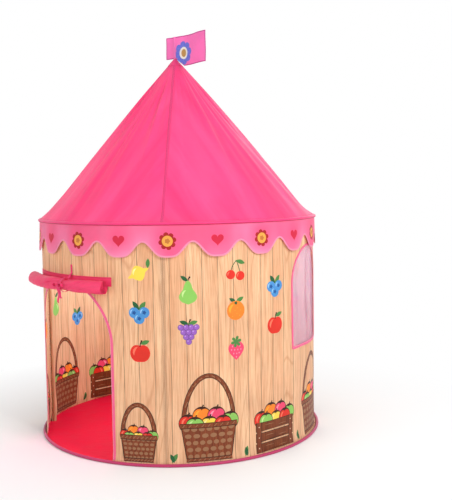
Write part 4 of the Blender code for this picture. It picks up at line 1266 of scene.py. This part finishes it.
def camera():
    turn, up = Matrix.Rotation(math.radians(CAMERA_AZIMUTH), 3, "Z"), Vector((0, 0, 1))
    place = turn @ Vector((0, -CAMERA_DISTANCE, CAMERA_HEIGHT))
    flat = Vector((math.sin(CAMERA_YAW), math.cos(CAMERA_YAW), 0)) * math.cos(CAMERA_PITCH)
    ahead = turn @ (flat - up * math.sin(CAMERA_PITCH))
    right = ahead.cross(up).normalized()
    up = right.cross(ahead)
    level = right * math.cos(CAMERA_ROLL) + up * math.sin(CAMERA_ROLL)
    upright = up * math.cos(CAMERA_ROLL) - right * math.sin(CAMERA_ROLL)
    data = bpy.data.cameras.new("camera")
    data.lens = CAMERA_FOCAL_PIXELS * data.sensor_width / PICTURE_HEIGHT_PIXELS
    made = bpy.context.scene.camera = linked("camera", data)
    made.matrix_world = Matrix.Translation(place) @ Matrix((level, upright, -ahead)).transposed().to_4x4()


def lamps(ground):
    """Three soft lamps outside, and a faint cool one inside that leaves the stage's floor unlit."""
    for name, angle, distance, height, size, power in (
        ("key_light", 88, 4.2, 2.8, 1.5, 120),
        ("fill_light", -2, 4.4, 1.5, 2.6, 40),
        ("back_light", 215, 4.5, 3.0, 3.0, 60),
    ):
        data = bpy.data.lights.new(name, "AREA")
        data.size, data.energy = size, power
        lamp = linked(name, data)
        lamp.location = around(distance, angle, height)
        lamp.rotation_euler = (Vector((0, 0, 0.7)) - lamp.location).to_track_quat("-Z", "Y").to_euler()
    data = bpy.data.lights.new("inner_light", "POINT")
    data.shadow_soft_size, data.energy, data.color = 0.2, 20, (0.46, 0.95, 1.0)
    lamp = linked("inner_light", data)
    lamp.location = (0, 0, 0.74)
    lamp.visible_camera = lamp.visible_glossy = False
    unlit = bpy.data.collections.new("unlit_by_inner_light")
    unlit.objects.link(ground)
    unlit.collection_objects[0].light_linking.link_state = "EXCLUDE"
    lamp.light_linking.receiver_collection = unlit


def stage():
    """A pale floor that fades to white, a white surround and the lamps."""
    bpy.ops.mesh.primitive_circle_add(vertices=96, radius=12, fill_type="NGON", location=(0, 0, -GAP))
    ground = bpy.context.object
    ground.name = "stage_floor"
    material, tree, shader = new_material("stage_floor")
    put(shader, {"Base Color": (0.93, 0.93, 0.93, 1), "Roughness": 0.9, "Specular IOR Level": 0.0})
    place = add_node(tree, "TexCoord", out="Object")
    fade = add_node(tree, "VectorMath", place, operation="LENGTH").ramp(0.53, 1.3)
    seen = fade * add_node(tree, "LightPath", out="Is Camera Ray")
    white = add_node(tree, "Emission", (1, 1, 1, 1), 1.0)
    shown(tree, "Material Output", seen, Value(shader.outputs[0]), white)
    ground.data.materials.append(material)
    world = bpy.context.scene.world = bpy.data.worlds.new("studio")
    world.use_nodes = True
    tree = world.node_tree
    put(tree.nodes["Background"], {"Color": (1, 1, 1, 1), "Strength": 0.66})
    rays = add_node(tree, "LightPath", out="Is Camera Ray")
    seen = rays.math("MAXIMUM", rays.output("Is Glossy Ray").math("MAXIMUM", rays.output("Is Transmission Ray")))
    white = add_node(tree, "Background", (1, 1, 1, 1), 1.0)
    shown(tree, "World Output", seen, Value(tree.nodes["Background"].outputs[0]), white)
    lamps(ground)
    bpy.context.scene.view_settings.view_transform = "Standard"


def declare_cloth():
    """Looks up each sheet of cloth and the trims sewn to it, and the floor's width across; nothing is done with
    them.
    """
    trims = {"front": ["door_tape"], "right": ["window_tape_right"], "left": ["window_tape_left"], "back": []}
    for side in PANELS:
        panel, trim = "wall_cloth_" + side, [PIECES[name] for name in trims[side]]
        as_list(trim)
    across, piece, trim = 2 * (HEM_RING - BINDING_RADIUS), PIECES["floor_cloth_sheet"], [PIECES["hem_binding"]]
    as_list(trim)
    for side, corner in zip(PANELS, SEAM_ANGLES):
        gore, trim = PIECES["roof_cloth_" + side], [PIECES["roof_seam_" + corner]]
        trim += [PIECES["eaves_piping"]] if side == "front" else []
        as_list(trim)
    for corner in SEAM_ANGLES:
        sleeve, trim = PIECES["pole_sleeve_" + corner], [PIECES["seam_tape_cloth_" + corner]]
        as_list(trim)


camera()
stage()
hard_parts()
walls()
tapes()
window_nets()
ring_tube("hem_binding", "hem", HEM_RING, BINDING_RADIUS, "floor_binding")
ring_tube("eaves_piping", "eaves", EAVES_RING, EAVES_HEIGHT, "eaves_binding")
floor()
roof()
roof_seams()
peak()
valance()
flap_strip()
flap_roll()
tie()
flag()
pole_sleeves()
declare_cloth()
